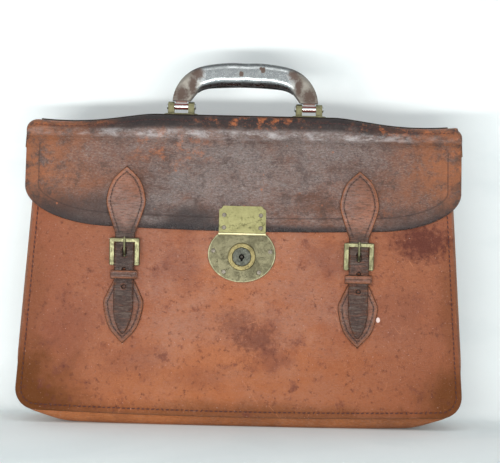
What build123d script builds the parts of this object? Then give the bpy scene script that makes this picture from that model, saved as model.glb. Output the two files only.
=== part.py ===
"""A leather flap-over briefcase with two buckled straps, a central lock and a metal top handle.

Millimetres. +Z is up with the case standing on its base, -Y is the front, and the origin is the
centre of the flat under the base. The front and back panels lean towards each other, so what sits
on the front is drawn on the front panel's own plane: x across, y up the leather, z out of it.
"""

from build123d import *
from math import atan, cos, degrees, pi, radians, sin
import os

# Whole case
base_depth = 80.0  # front panel face to back panel face, at the floor
top_depth = 50.0  # the same, at the top
case_height = 297.0  # floor to the top of the facing, at the middle of the crown
panel_leather = 3.0
gusset_leather = 2.0
flap_leather = 2.6
running_gap = 0.4  # between the flap and what it lies over
front_fold_drop = 27.0  # from the top of the crown down to the crease in front
rear_fold_drop = 17.0
front_fold_high = case_height - front_fold_drop
rear_fold_high = case_height - rear_fold_drop

# Panels, measured up the leather
panel_half_bottom = 212.0
panel_half_top = 197.0
panel_low = 9.0
panel_sag = 4.0  # how much the lower edge drops from its corners to its middle
panel_corner = 20.0
front_panel_high = front_fold_high - 4.0
back_panel_high = rear_fold_high - 1.0

# Gusset
gusset_proud = 2.5  # how far its sides stand out past the panels
gusset_roll = 10.0
gusset_corner = 55.0
gusset_high = front_fold_high - 8.0
gusset_flat = 0.8  # how far the belly is pressed flat where the case stands
seam_width = 12.0  # the flange that is sewn to each panel

# Flap: a strip down the back, a crowned top and the front
flap_half = 208.0
fold_gap = 0.3
back_strip_low = rear_fold_high - 34.0
flap_drop = 85.4
flap_low = front_fold_high - flap_drop
flap_low_rise = 2.4  # the lower edge rises this much towards its corners
flap_corner_across = 85.0
flap_corner_up = 38.0
horn_run = 43.0  # from the flap's side in to the lowest point of the dip
dip_run = 73.0  # from there to the level crown
dip_at = flap_half - horn_run
crown_half = dip_at - dip_run
crown_bend = 120.0
dip_bend = 300.0
dip_drop = 10.5
horn_drop = 5.5
horn_corner = 9.5
top_roll = 8.0
facing_leather = 1.6
facing_half = flap_half - 12.0
facing_depth = 35.0
stiffener_half = crown_half - 10.0
stiffener_depth = 34.0
stiffener_thick = 2.5

# Straps, buckles and keepers
strap_at = 111.0
strap_leather = 2.0
buckle_pin_high = flap_low - 33.0
strap_half = 9.4
leaf_tip_high = front_fold_high - 25.0
leaf_wide_high = leaf_tip_high - 32.0
leaf_half = 18.8
leaf_neck_high = leaf_tip_high - 65.0
strap_tip_high = buckle_pin_high - 66.6
strap_point = 22.0
tail_join_high = strap_tip_high + strap_point + 13.0
strap_hole_high = buckle_pin_high + 10.8  # the hole the prong is through
strap_hole_pitch = 16.3
prong_hole_long = 8.0  # that hole, drawn long by the prong
strap_hole_radius = 1.4
strap_rise = 0.1  # clearance under the strap where it rides over the fold
buckle_pin_radius = 1.3
buckle_half = 14.25
buckle_side_bar = 4.3
buckle_end_bar = 3.4
buckle_thick = 3.0
buckle_reach = 24.6  # hinge bar's axis to the far edge of the frame
buckle_heel = 1.6
buckle_tilt = 12.0  # the frame's lean away from the leather, lifted by the strap under it
chape_leather = 2.2
fold_leather = 1.2
fold_play = 0.08
chape_tip_high = strap_tip_high - 9.0
chape_wide_high = chape_tip_high + 36.5
chape_half = 18.9
keeper_low = buckle_pin_high - 14.6
keeper_width = 8.2
keeper_half = 12.7
keeper_leather = 1.6
prong_radius = 1.1
prong_width = 3.2
prong_tip = 26.0
prong_slot_play = 0.5

# Lock
lock_high = flap_low - 24.1  # the key's axis
plate_half = 32.25
plate_half_high = 27.0
plate_centre_high = lock_high + 2.8
plate_top = flap_low - 0.4
plate_brass = 1.4
collar_radius = 13.2
collar_height = 2.8
plug_radius = 8.5
plug_play = 0.08
plug_disc = 2.0
stem_radius = 5.0
key_radius = 2.7
key_bit_width = 2.1
key_bit_reach = 6.7
key_depth = 4.0  # into the plug from its face
post_radius = 1.4
cam_offset = 2.7
cam_radius = 1.0
cam_play = 0.12
bolt_half = 7.0
bolt_low = lock_high - 7.5
bolt_shoulder = lock_high + 11.5
bolt_nose_half = 4.0
bolt_thick = 2.4
bolt_front = 3.6  # how far its near face lies behind the panel's face
bolt_play = 0.15
case_half = 14.0
case_low = lock_high - 12.0
case_high = lock_high + 29.5
case_deep = 8.4
case_wall = 1.0
upper_rivets_high = lock_high + 5.5
upper_rivets_at = 27.1
lower_rivets_high = lock_high - 14.5
lower_rivets_at = 16.8
rivet_radius = 1.3
rivet_head_radius = 2.1
rivet_head = 0.9

# Hasp on the flap
hasp_half = 22.25
hasp_low = flap_low - 3.6
hasp_high = hasp_low + 27.7
hasp_notch = 6.2
hasp_brass = 1.2
hasp_rivets_at = 17.4
hasp_rivets_mid = hasp_low + 13.0
hasp_rivets_pitch = 12.0
tongue_half = 7.0
tongue_low = hasp_low + 0.8
tongue_thick = 1.5
tongue_reach = 7.2  # how far it passes behind the front panel's face
tongue_window = 3.2
tongue_slot_drop = 0.8  # room under the tongue for the arc it swings out on
tongue_slot_play = 0.2
bead_radius = 1.05
bead_set = 1.2  # how far the bead lies inside the plate's lower edge and back

# Handle
bracket_at = 62.4  # where the handle's feet come down
bracket_half_long = 16.7
bracket_half_deep = 12.0
bracket_plate = 1.8
ear_gap_half = 6.9
ear_width = 6.0
ear_radius = 4.7
pivot_rise = 7.6  # handle pin above the bracket's plate
pin_radius = 1.5
pin_play = 0.08
pin_head_radius = 2.9
pin_head = 1.3
foot_gap = 5.6  # the grip's foot above the pin's axis, clear of the ears as it swings
foot_half = 8.7
foot_thick = 8.6
arch_top = 53.0  # the grip's top above the case
arch_inside = 30.2  # the same, under the grip
grip_thick = 19.0
seam_strip = 5.0
seam_proud = 0.8
lug_half = 6.6
tab_half = 5.6
tab_thick = 3.4
barrel_radius = 3.2
lug_rise = 14.0  # how far a lug's tab reaches up into the grip

lean = atan((base_depth - top_depth) / 2 / case_height)
up_front = Vector(0, sin(lean), cos(lean))
out_front = Vector(0, -cos(lean), sin(lean))
across = Vector(1, 0, 0)
front_face = Plane(origin=(0, -base_depth / 2, 0), x_dir=across, z_dir=out_front)
back_face = Plane(origin=(0, base_depth / 2, 0), x_dir=-across, z_dir=(0, cos(lean), sin(lean)))
flap_outside = running_gap + flap_leather
outward = Axis(front_face.origin, out_front)
sides = {"left": -1, "right": 1}

os.makedirs("parts", exist_ok=True)


def finish(builder, name):
    """Labels a finished piece and writes it as one file."""
    builder.part.label = name
    export_step(builder.part, f"parts/{name}.step")


def on_front(x, high, out):
    """A point of the case, given on the front panel's plane."""
    return front_face.from_local_coords((x, high, out))


def on_edge(edge, out):
    """Whether an edge lies wholly at one height out of the front."""
    return abs((edge.center() - front_face.origin).dot(out_front) - out) < 0.01


def side_plane(x):
    """A plane across the front, whose x runs up the leather and whose y runs out of it."""
    return Plane(origin=on_front(x, 0, 0), x_dir=up_front, z_dir=across)


def case_outline(half_bottom, half_top, low, high, corner):
    """The case's outline from the front: a sagging lower edge, rounded corners, drawn-in sides."""
    heel = low + panel_sag
    with BuildSketch() as outline:
        with BuildLine():
            ThreePointArc((-half_bottom, heel), (0, low), (half_bottom, heel))
            Polyline((half_bottom, heel), (half_top, high), (-half_top, high), (-half_bottom, heel))
        make_face()
        fillet(outline.vertices().sort_by(Axis.Y)[:2], radius=corner)
    return outline.sketch_local


def panel_outline(high, inset=0.0):
    """A panel's outline up to a height, drawn in all round by the inset."""
    draw = (panel_half_bottom - panel_half_top) / (front_panel_high - panel_low)
    half_top = panel_half_top + draw * (front_panel_high - high)
    corner = max(panel_corner - inset, 2.0)
    return case_outline(panel_half_bottom - inset, half_top - inset, panel_low + inset, high, corner)


def crown_outline(low, drop, half):
    """The flap's top from the front: level under the handle, dipping beside it, with raised horns."""
    crown = case_height - facing_leather - drop
    dip = crown - dip_drop
    horn = crown - horn_drop + (half - flap_half) * (dip_drop - horn_drop) / (flap_half - dip_at)
    with BuildSketch() as outline:
        with BuildLine():
            FilletPolyline(
                (-half, low),
                (-half, horn),
                (-dip_at, dip),
                (-crown_half, crown),
                (crown_half, crown),
                (dip_at, dip),
                (half, horn),
                (half, low),
                radius=[horn_corner, dip_bend, crown_bend, crown_bend, dip_bend, horn_corner],
            )
            Line((-half, low), (half, low))
        make_face()
    return outline.sketch_local


# Front and back panels, the gusset between them
with BuildPart() as front_panel:
    with BuildSketch(front_face):
        add(panel_outline(front_panel_high))
        with Locations((0, (case_low + case_high) / 2)):
            Rectangle(2 * case_half, case_high - case_low, mode=Mode.SUBTRACT)
        with Locations((0, upper_rivets_high)):
            with GridLocations(2 * upper_rivets_at, 1, 2, 1):
                Circle(rivet_radius, mode=Mode.SUBTRACT)
        with Locations((0, lower_rivets_high)):
            with GridLocations(2 * lower_rivets_at, 1, 2, 1):
                Circle(rivet_radius, mode=Mode.SUBTRACT)
    extrude(amount=-panel_leather)
finish(front_panel, "front_panel")

with BuildPart() as back_panel:
    with BuildSketch(back_face):
        add(panel_outline(back_panel_high))
    extrude(amount=-panel_leather)
finish(back_panel, "back_panel")

web_inset = panel_leather + gusset_leather


def gusset_block(inset):
    """The gusset's outside, or its inside when drawn in by the leather, as one rolled solid."""
    with BuildPart() as block:
        with BuildSketch(Plane.XZ):
            add(
                case_outline(
                    panel_half_bottom + gusset_proud - inset,
                    panel_half_top + gusset_proud - inset,
                    inset - gusset_flat,
                    gusset_high,
                    gusset_corner - inset,
                )
            )
        extrude(amount=base_depth, both=True)
        split(bisect_by=front_face.offset(-web_inset - inset), keep=Keep.BOTTOM)
        split(bisect_by=back_face.offset(-web_inset - inset), keep=Keep.BOTTOM)
        by_depth = block.faces().sort_by(Axis.Y)
        rolled = by_depth[0].edges().sort_by(Axis.Z)[:-1]
        rolled += by_depth[-1].edges().sort_by(Axis.Z)[:-1]
        fillet(rolled, radius=gusset_roll - inset)
    return block.part


with BuildPart() as gusset:
    add(gusset_block(0.0))
    with BuildSketch(front_face.offset(-web_inset), back_face.offset(-web_inset)):
        add(panel_outline(gusset_high))
    extrude(amount=gusset_leather)
    add(gusset_block(gusset_leather), mode=Mode.SUBTRACT)
    room_front = front_face.offset(-web_inset - gusset_leather)
    room_back = back_face.offset(-web_inset - gusset_leather)
    with BuildSketch(room_front, room_back):
        add(panel_outline(gusset_high, seam_width))
    extrude(amount=2 * gusset_leather, mode=Mode.SUBTRACT)
    split(bisect_by=Plane.XY, keep=Keep.TOP)
    split(bisect_by=Plane.XY.offset(gusset_high - 2.0), keep=Keep.BOTTOM)
finish(gusset, "gusset")

# The flap: its strip down the back, the crowned top over the opening and the front that hangs
with BuildPart() as flap_back_strip:
    strip_high = rear_fold_high - fold_gap
    with BuildSketch(back_face):
        with Locations((0, (back_strip_low + strip_high) / 2)):
            RectangleRounded(2 * panel_half_top - 2.0, strip_high - back_strip_low, 4.0)
    extrude(amount=flap_leather)
finish(flap_back_strip, "flap_back_strip")


def top_block(inset, low, half, roll):
    """The crowned top as a solid, drawn in by the inset, rolled along its front and back edges."""
    with BuildPart() as block:
        with BuildSketch(Plane.XZ):
            add(crown_outline(low, inset, half))
        extrude(amount=base_depth, both=True)
        split(bisect_by=front_face.offset(flap_outside - inset), keep=Keep.BOTTOM)
        split(bisect_by=back_face.offset(flap_leather - inset), keep=Keep.BOTTOM)
        by_depth = block.faces().sort_by(Axis.Y)
        ridges = [face.edges().sort_by(Axis.Z)[-1] for face in (by_depth[0], by_depth[-1])]
        fillet(ridges, radius=roll)
    return block.part


top_middle = (front_face.offset(flap_outside).origin.Y + back_face.offset(flap_leather).origin.Y) / 2
bracket_spots = [(sign * bracket_at, top_middle) for sign in sides.values()]
bracket_rivet_spots = [(x, y) for x in (-9.9, 9.9) for y in (-8.3, 8.3)]


def bracket_rivet_shafts(low, high):
    """The shafts of the eight bracket rivets between two heights."""
    with BuildPart() as shafts:
        with BuildSketch(Plane.XY.offset(low)):
            with Locations(*bracket_spots):
                with Locations(*bracket_rivet_spots):
                    Circle(rivet_radius)
        extrude(amount=high - low)
    return shafts.part


bracket_holes = bracket_rivet_shafts(front_fold_high, 2 * case_height)

top_inside = top_block(
    flap_leather, front_fold_high - 10, flap_half + horn_corner, top_roll - flap_leather
)

with BuildPart() as flap_top:
    add(top_block(0.0, front_fold_high, flap_half, top_roll))
    add(top_inside, mode=Mode.SUBTRACT)
    with BuildSketch(back_face):
        with Locations((0, (rear_fold_high + back_strip_low) / 2)):
            Rectangle(4 * flap_half, rear_fold_high - back_strip_low)
    extrude(amount=2 * flap_leather, both=True, mode=Mode.SUBTRACT)
    add(bracket_holes, mode=Mode.SUBTRACT)
finish(flap_top, "flap_top")


with BuildPart() as top_facing:
    with BuildSketch(Plane.XZ):
        add(crown_outline(front_fold_high, -facing_leather, flap_half))
        add(crown_outline(front_fold_high, 0.0, flap_half + horn_corner), mode=Mode.SUBTRACT)
        Rectangle(2 * facing_half, 3 * case_height, mode=Mode.INTERSECT)
    extrude(amount=facing_depth / 2, both=True)
    add(bracket_holes, mode=Mode.SUBTRACT)
finish(top_facing, "top_facing")

stiffener_top = case_height - facing_leather - flap_leather
with BuildPart() as stiffener:
    with BuildSketch(Plane.XY.offset(stiffener_top - stiffener_thick)):
        RectangleRounded(2 * stiffener_half, stiffener_depth, 6.0)
    extrude(amount=stiffener_thick)
    fillet(stiffener.faces().sort_by(Axis.Z)[0].edges(), radius=0.8)
    add(bracket_holes, mode=Mode.SUBTRACT)
finish(stiffener, "stiffener")

with BuildPart() as flap_front:
    with BuildSketch(front_face.offset(running_gap)):
        with BuildLine():
            side_low = flap_low + flap_low_rise + flap_corner_up
            inner = flap_half - flap_corner_across
            ends_low = flap_low + flap_low_rise
            ThreePointArc((-inner, ends_low), (0, flap_low), (inner, ends_low))
            EllipticalCenterArc((inner, side_low), flap_corner_across, flap_corner_up, 270, arc_size=90)
            Polyline(
                (flap_half, side_low),
                (flap_half, front_fold_high - fold_gap),
                (-flap_half, front_fold_high - fold_gap),
                (-flap_half, side_low),
            )
            EllipticalCenterArc((-inner, side_low), flap_corner_across, flap_corner_up, 180, arc_size=90)
        make_face()
        with Locations((0, hasp_rivets_mid)):
            with GridLocations(2 * hasp_rivets_at, hasp_rivets_pitch, 2, 2):
                Circle(rivet_radius, mode=Mode.SUBTRACT)
    extrude(amount=flap_leather)
    outer_edges = flap_front.faces().sort_by(outward)[-1].outer_wire().edges()
    fillet(outer_edges.sort_by(Axis.Z)[:-1], radius=0.7)
finish(flap_front, "flap_front")

# Straps: each a leaf sewn to the flap that narrows into a tail with holes
fold_radius = buckle_pin_radius + fold_play + fold_leather
hinge_out = fold_radius
over_fold = hinge_out + fold_radius + strap_rise
chape_join = buckle_pin_high - 6.5
strap_lift = chape_join - 0.8  # where the strap begins to climb over the fold
under_strap = chape_leather + strap_rise
frame_up = cos(radians(buckle_tilt))
frame_out = sin(radians(buckle_tilt))


bar_top = buckle_thick / 2 + prong_radius + 0.02
prong_path = [
    (buckle_pin_radius + 0.6, 0),
    (8.6, -0.5),
    (13.2, bar_top - 0.5),
    (buckle_reach - buckle_end_bar, bar_top),
    (prong_tip, bar_top),
]
prong_slot_low = 3.2  # how far below the pin's axis the slot in the fold begins
keeper_high = under_strap + strap_leather + keeper_leather + 1.0


def frame_plane(x):
    """A side-on plane at the buckle's hinge: x runs up its tilted frame and y out of it."""
    return Plane(
        origin=on_front(x, buckle_pin_high, hinge_out),
        x_dir=up_front * frame_up + out_front * frame_out,
        z_dir=across,
    )


def leaf_outline(tip, wide, half, neck, neck_half):
    """Half a spade-shaped leaf, from its tip past its widest point to the neck of the strap."""
    along = neck - tip
    return [
        (0, tip),
        (half * 0.62, tip + (wide - tip) * 0.42),
        (half, wide),
        (half * 0.86, wide + (neck - wide) * 0.42),
        (neck_half, neck),
    ], ((1.0 * half, 0.35 * along), (0, along))


def leaf(x, heights, half, neck_half, tail):
    """A leaf with its tail as a flat outline on the front, the tail cut square."""
    tip, wide, neck = heights
    points, bends = leaf_outline(tip, wide, half, neck, neck_half)
    with BuildSketch() as outline:
        with BuildLine():
            Spline(points, tangents=bends)
            Polyline(points[-1], (neck_half, tail), (0, tail))
            Line((0, tail), points[0])
        make_face()
        mirror(about=Plane.YZ)
    return Pos(x, 0) * outline.sketch_local


for side, sign in sides.items():
    strap_x = sign * strap_at

    with BuildPart() as strap:
        with BuildSketch(side_plane(strap_x)):
            with BuildLine():
                FilletPolyline(
                    (strap_tip_high - 5, under_strap + strap_leather / 2),
                    (strap_lift, under_strap + strap_leather / 2),
                    (strap_lift + 5.2, over_fold + strap_leather / 2),
                    (buckle_pin_high + 2.0, over_fold + strap_leather / 2),
                    (buckle_pin_high + 22.5, flap_outside + 0.05 + strap_leather / 2),
                    (leaf_tip_high + 5, flap_outside + 0.05 + strap_leather / 2),
                    radius=[4.0, 4.0, 4.0, 30.0],
                )
            trace(line_width=strap_leather)
        extrude(amount=leaf_half + 2.0, both=True)
        with BuildSketch(front_face):
            leaf_heights = (leaf_tip_high, leaf_wide_high, leaf_neck_high)
            add(leaf(strap_x, leaf_heights, leaf_half, strap_half, tail_join_high - 1.0))
            with BuildLine():
                Polyline(
                    (strap_x - strap_half, tail_join_high),
                    (strap_x - strap_half, strap_tip_high + strap_point),
                    (strap_x, strap_tip_high),
                    (strap_x + strap_half, strap_tip_high + strap_point),
                    (strap_x + strap_half, tail_join_high),
                    (strap_x - strap_half, tail_join_high),
                )
            make_face()
        extrude(amount=20.0, mode=Mode.INTERSECT)
        with BuildSketch(front_face):
            with Locations((strap_x, strap_hole_high)):
                SlotOverall(prong_hole_long, 2 * strap_hole_radius, rotation=90)
            with Locations(*[(strap_x, strap_hole_high - n * strap_hole_pitch) for n in (1, 2)]):
                Circle(strap_hole_radius)
        extrude(amount=20.0, mode=Mode.SUBTRACT)
    finish(strap, f"strap_{side}")

    # The lower leaf, folded round the buckle's hinge bar and cut away for the prong
    with BuildPart() as chape:
        with BuildSketch(front_face):
            chape_heights = (chape_tip_high, chape_wide_high, keeper_low)
            add(leaf(strap_x, chape_heights, chape_half, strap_half, chape_join))
        extrude(amount=chape_leather)
        with BuildSketch(side_plane(strap_x)):
            with Locations((buckle_pin_high, hinge_out)):
                Circle(fold_radius)
            with Locations((chape_join - 0.2, chape_leather / 2)):
                Rectangle(0.4, chape_leather)
            make_hull()
        extrude(amount=strap_half, both=True)
        with BuildSketch(side_plane(strap_x)):
            with Locations((buckle_pin_high, hinge_out)):
                Circle(buckle_pin_radius + fold_play)
        extrude(amount=strap_half, both=True, mode=Mode.SUBTRACT)
        with BuildSketch(front_face):
            with Locations((strap_x, buckle_pin_high - prong_slot_low + 2 * fold_radius)):
                Rectangle(prong_width + 2 * prong_slot_play, 4 * fold_radius)
        extrude(amount=3 * fold_radius, mode=Mode.SUBTRACT)
    finish(chape, f"chape_{side}")

    with BuildPart() as keeper:
        with BuildSketch(Plane(origin=on_front(strap_x, keeper_low, 0), x_dir=across, z_dir=up_front)):
            with Locations((0, -keeper_high / 2)):
                Rectangle(2 * keeper_half, keeper_high)
            with Locations((0, -(keeper_high - keeper_leather) / 2)):
                room_half = keeper_half - keeper_leather
                Rectangle(2 * room_half, keeper_high - keeper_leather, mode=Mode.SUBTRACT)
        extrude(amount=keeper_width)
        fillet(keeper.edges().filter_by(Axis(front_face.origin, up_front)), radius=0.6)
    finish(keeper, f"keeper_{side}")

    # The buckle: a frame on a hinge bar, and a prong looped round the same bar
    with BuildPart() as buckle:
        frame_face = Plane(
            origin=on_front(strap_x, buckle_pin_high, hinge_out),
            x_dir=across,
            z_dir=out_front * frame_up - up_front * frame_out,
        )
        with BuildSketch(frame_face.offset(-buckle_thick / 2)):
            with Locations((0, (buckle_reach - buckle_heel) / 2)):
                RectangleRounded(2 * buckle_half, buckle_reach + buckle_heel, 1.5)
            with Locations((0, (buckle_reach - buckle_end_bar - 2 * buckle_heel) / 2)):
                Rectangle(
                    2 * (buckle_half - buckle_side_bar),
                    buckle_reach - buckle_end_bar + 2 * buckle_heel,
                    mode=Mode.SUBTRACT,
                )
        extrude(amount=buckle_thick)
        fillet(buckle.faces().sort_by(outward)[-1].edges(), radius=0.9)
        with BuildSketch(frame_plane(strap_x)):
            Circle(buckle_pin_radius)
        extrude(amount=buckle_half - 1.0, both=True)
    finish(buckle, f"buckle_{side}")

    with BuildPart() as prong:
        with BuildSketch(frame_plane(strap_x)):
            Circle(fold_radius - 0.15)
            Circle(buckle_pin_radius + fold_play, mode=Mode.SUBTRACT)
        extrude(amount=prong_width / 2, both=True)
        with BuildLine(frame_plane(strap_x)) as prong_line:
            FilletPolyline(prong_path, radius=2.5)
        with BuildSketch(Plane(origin=prong_line.line @ 0, z_dir=prong_line.line % 0)):
            Circle(prong_radius)
        sweep(path=prong_line.line)
    finish(prong, f"prong_{side}")


# Lock: a plate over a case let into the front panel, with a turning plug that lifts the bolt
plate_ellipse = Pos(0, plate_centre_high) * Ellipse(plate_half, plate_half_high)
with BuildPart() as lock_plate:
    with BuildSketch(front_face):
        add(plate_ellipse)
        with Locations((0, plate_top + plate_half)):
            Rectangle(3 * plate_half, 2 * plate_half, mode=Mode.SUBTRACT)
        with Locations((0, lock_high)):
            Circle(stem_radius + plug_play, mode=Mode.SUBTRACT)
        with Locations((0, tongue_low + (tongue_thick + tongue_slot_play - tongue_slot_drop) / 2)):
            Rectangle(
                2 * (tongue_half + tongue_slot_play),
                tongue_thick + tongue_slot_play + tongue_slot_drop,
                mode=Mode.SUBTRACT,
            )
        with Locations((0, upper_rivets_high)):
            with GridLocations(2 * upper_rivets_at, 1, 2, 1):
                Circle(rivet_radius, mode=Mode.SUBTRACT)
        with Locations((0, lower_rivets_high)):
            with GridLocations(2 * lower_rivets_at, 1, 2, 1):
                Circle(rivet_radius, mode=Mode.SUBTRACT)
    extrude(amount=plate_brass)
    rim = lock_plate.faces().sort_by(outward)[-1].outer_wire().edges().sort_by(Axis.Z)[:-1]
    fillet(rim, radius=0.5)
finish(lock_plate, "lock_plate")

with BuildPart() as lock_rivets:
    with BuildSketch(front_face.offset(-panel_leather)):
        with Locations((0, upper_rivets_high)):
            with GridLocations(2 * upper_rivets_at, 1, 2, 1):
                Circle(rivet_radius)
        with Locations((0, lower_rivets_high)):
            with GridLocations(2 * lower_rivets_at, 1, 2, 1):
                Circle(rivet_radius)
    extrude(amount=panel_leather + plate_brass)
    with BuildSketch(front_face.offset(plate_brass), front_face.offset(-panel_leather - rivet_head)):
        with Locations((0, upper_rivets_high)):
            with GridLocations(2 * upper_rivets_at, 1, 2, 1):
                Circle(rivet_head_radius)
        with Locations((0, lower_rivets_high)):
            with GridLocations(2 * lower_rivets_at, 1, 2, 1):
                Circle(rivet_head_radius)
    extrude(amount=rivet_head)
    heads = lock_rivets.edges().filter_by(lambda e: on_edge(e, plate_brass + rivet_head))
    fillet(heads, radius=0.5)
finish(lock_rivets, "lock_rivets")

with BuildPart() as lock_collar:
    with BuildSketch(front_face.offset(plate_brass)):
        with Locations((0, lock_high)):
            Circle(collar_radius)
            Circle(plug_radius + plug_play, mode=Mode.SUBTRACT)
    extrude(amount=collar_height)
    crests = lock_collar.edges().filter_by(lambda e: on_edge(e, plate_brass + collar_height))
    fillet(crests, radius=0.9)
finish(lock_collar, "lock_collar")

plug_face = plate_brass + plug_disc
stem_end = plug_face - key_depth - 0.8
with BuildPart() as lock_plug:
    with BuildSketch(front_face.offset(plate_brass)):
        with Locations((0, lock_high)):
            Circle(plug_radius)
    extrude(amount=plug_disc)
    with BuildSketch(front_face.offset(plate_brass)):
        with Locations((0, lock_high)):
            Circle(stem_radius)
    extrude(amount=stem_end - plate_brass)
    with BuildSketch(front_face.offset(plug_face)):
        with Locations((0, lock_high)):
            Circle(key_radius)
        with Locations((0, lock_high - stem_radius / 2 + 0.4)):
            Rectangle(key_bit_width, stem_radius - 0.8)
    extrude(amount=-key_depth, mode=Mode.SUBTRACT)
    with BuildSketch(front_face.offset(plug_face)):
        with Locations((0, lock_high - key_bit_reach / 2)):
            Rectangle(key_bit_width, key_bit_reach)
    extrude(amount=-plug_disc / 2, mode=Mode.SUBTRACT)
    with BuildSketch(front_face.offset(stem_end)):
        with Locations((cam_offset * cos(pi / 4), lock_high - cam_offset * sin(pi / 4))):
            Circle(cam_radius)
    extrude(amount=-bolt_thick - bolt_front - stem_end)
finish(lock_plug, "lock_plug")

with BuildPart() as lock_post:
    with BuildSketch(front_face.offset(plug_face - key_depth)):
        with Locations((0, lock_high)):
            Circle(post_radius)
    extrude(amount=key_depth - 0.4)
    fillet(lock_post.faces().sort_by(outward)[-1].edges(), radius=0.4)
finish(lock_post, "lock_post")

bolt_travel = 2 * cam_offset * sin(pi / 4)
with BuildPart() as lock_bolt:
    with BuildSketch(front_face.offset(-bolt_front)):
        with Locations((0, (bolt_low + bolt_shoulder) / 2)):
            Rectangle(2 * bolt_half, bolt_shoulder - bolt_low)
        with Locations((0, (bolt_shoulder + tongue_low - bolt_play) / 2)):
            Rectangle(2 * bolt_nose_half, tongue_low - bolt_play - bolt_shoulder)
        with Locations((cam_offset * 0.85, lock_high - bolt_travel / 2)):
            slot_long = 2 * (cam_radius + cam_play) + cam_offset * 0.5
            Rectangle(slot_long, 2 * (cam_radius + cam_play), mode=Mode.SUBTRACT)
    extrude(amount=-bolt_thick)
finish(lock_bolt, "lock_bolt")

with BuildPart() as lock_case:
    with BuildSketch(front_face):
        with Locations((0, (case_low + case_high) / 2)):
            Rectangle(2 * case_half, case_high - case_low)
    extrude(amount=-case_deep)
    with BuildSketch(front_face):
        with Locations((0, (case_low + case_high) / 2)):
            Rectangle(2 * (case_half - case_wall), case_high - case_low - 2 * case_wall)
    extrude(amount=case_wall - case_deep, mode=Mode.SUBTRACT)
    with BuildSketch(front_face.offset(case_wall - case_deep)):
        with Locations((0, (bolt_low + bolt_shoulder) / 2)):
            with GridLocations(2 * (bolt_half + bolt_play + case_wall), 1, 2, 1):
                Rectangle(2 * case_wall, bolt_shoulder - bolt_low)
    extrude(amount=case_deep - case_wall - bolt_front)
    with BuildSketch(front_face.offset(case_wall - case_deep)):
        with Locations((0, bolt_shoulder - 4 * case_wall)):
            Rectangle(2 * (bolt_half + bolt_play), 2 * case_wall)
    extrude(amount=case_deep - case_wall - bolt_front - bolt_thick - bolt_play)
finish(lock_case, "lock_case")

with BuildPart() as hasp:
    with BuildSketch(front_face.offset(flap_outside)):
        with Locations((0, (hasp_low + hasp_high) / 2)):
            Rectangle(2 * hasp_half, hasp_high - hasp_low)
        with Locations((0, hasp_high + hasp_notch / 3)):
            with GridLocations(2 * (hasp_half + hasp_notch / 3), 1, 2, 1):
                Circle(hasp_notch, mode=Mode.SUBTRACT)
        with Locations((0, hasp_rivets_mid)):
            with GridLocations(2 * hasp_rivets_at, hasp_rivets_pitch, 2, 2):
                Circle(rivet_radius, mode=Mode.SUBTRACT)
    extrude(amount=hasp_brass)
    with BuildSketch(side_plane(0)):
        with Locations((hasp_low + bead_set, flap_outside + bead_set)):
            Circle(bead_radius)
    extrude(amount=hasp_half - 0.6, both=True)
    with BuildSketch(front_face.offset(flap_outside + hasp_brass / 2)):
        with Locations((0, tongue_low + tongue_thick / 2)):
            Rectangle(2 * tongue_half, tongue_thick)
    extrude(amount=-flap_outside - hasp_brass / 2 - tongue_reach)
    window = on_front(0, tongue_low, -bolt_front - bolt_thick / 2)
    with BuildSketch(Plane(origin=window, x_dir=across, z_dir=up_front)):
        Rectangle(2 * (bolt_nose_half + bolt_play), tongue_window)
    extrude(amount=3 * tongue_thick, both=True, mode=Mode.SUBTRACT)
finish(hasp, "hasp")

with BuildPart() as hasp_rivets:
    with BuildSketch(front_face.offset(running_gap + 0.1)):
        with Locations((0, hasp_rivets_mid)):
            with GridLocations(2 * hasp_rivets_at, hasp_rivets_pitch, 2, 2):
                Circle(rivet_radius)
    extrude(amount=flap_leather + hasp_brass - 0.1)
    with BuildSketch(front_face.offset(flap_outside + hasp_brass)):
        with Locations((0, hasp_rivets_mid)):
            with GridLocations(2 * hasp_rivets_at, hasp_rivets_pitch, 2, 2):
                Circle(rivet_head_radius)
    extrude(amount=rivet_head)
    heads = hasp_rivets.edges().filter_by(lambda e: on_edge(e, flap_outside + hasp_brass + rivet_head))
    fillet(heads, radius=0.5)
finish(hasp_rivets, "hasp_rivets")

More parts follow.
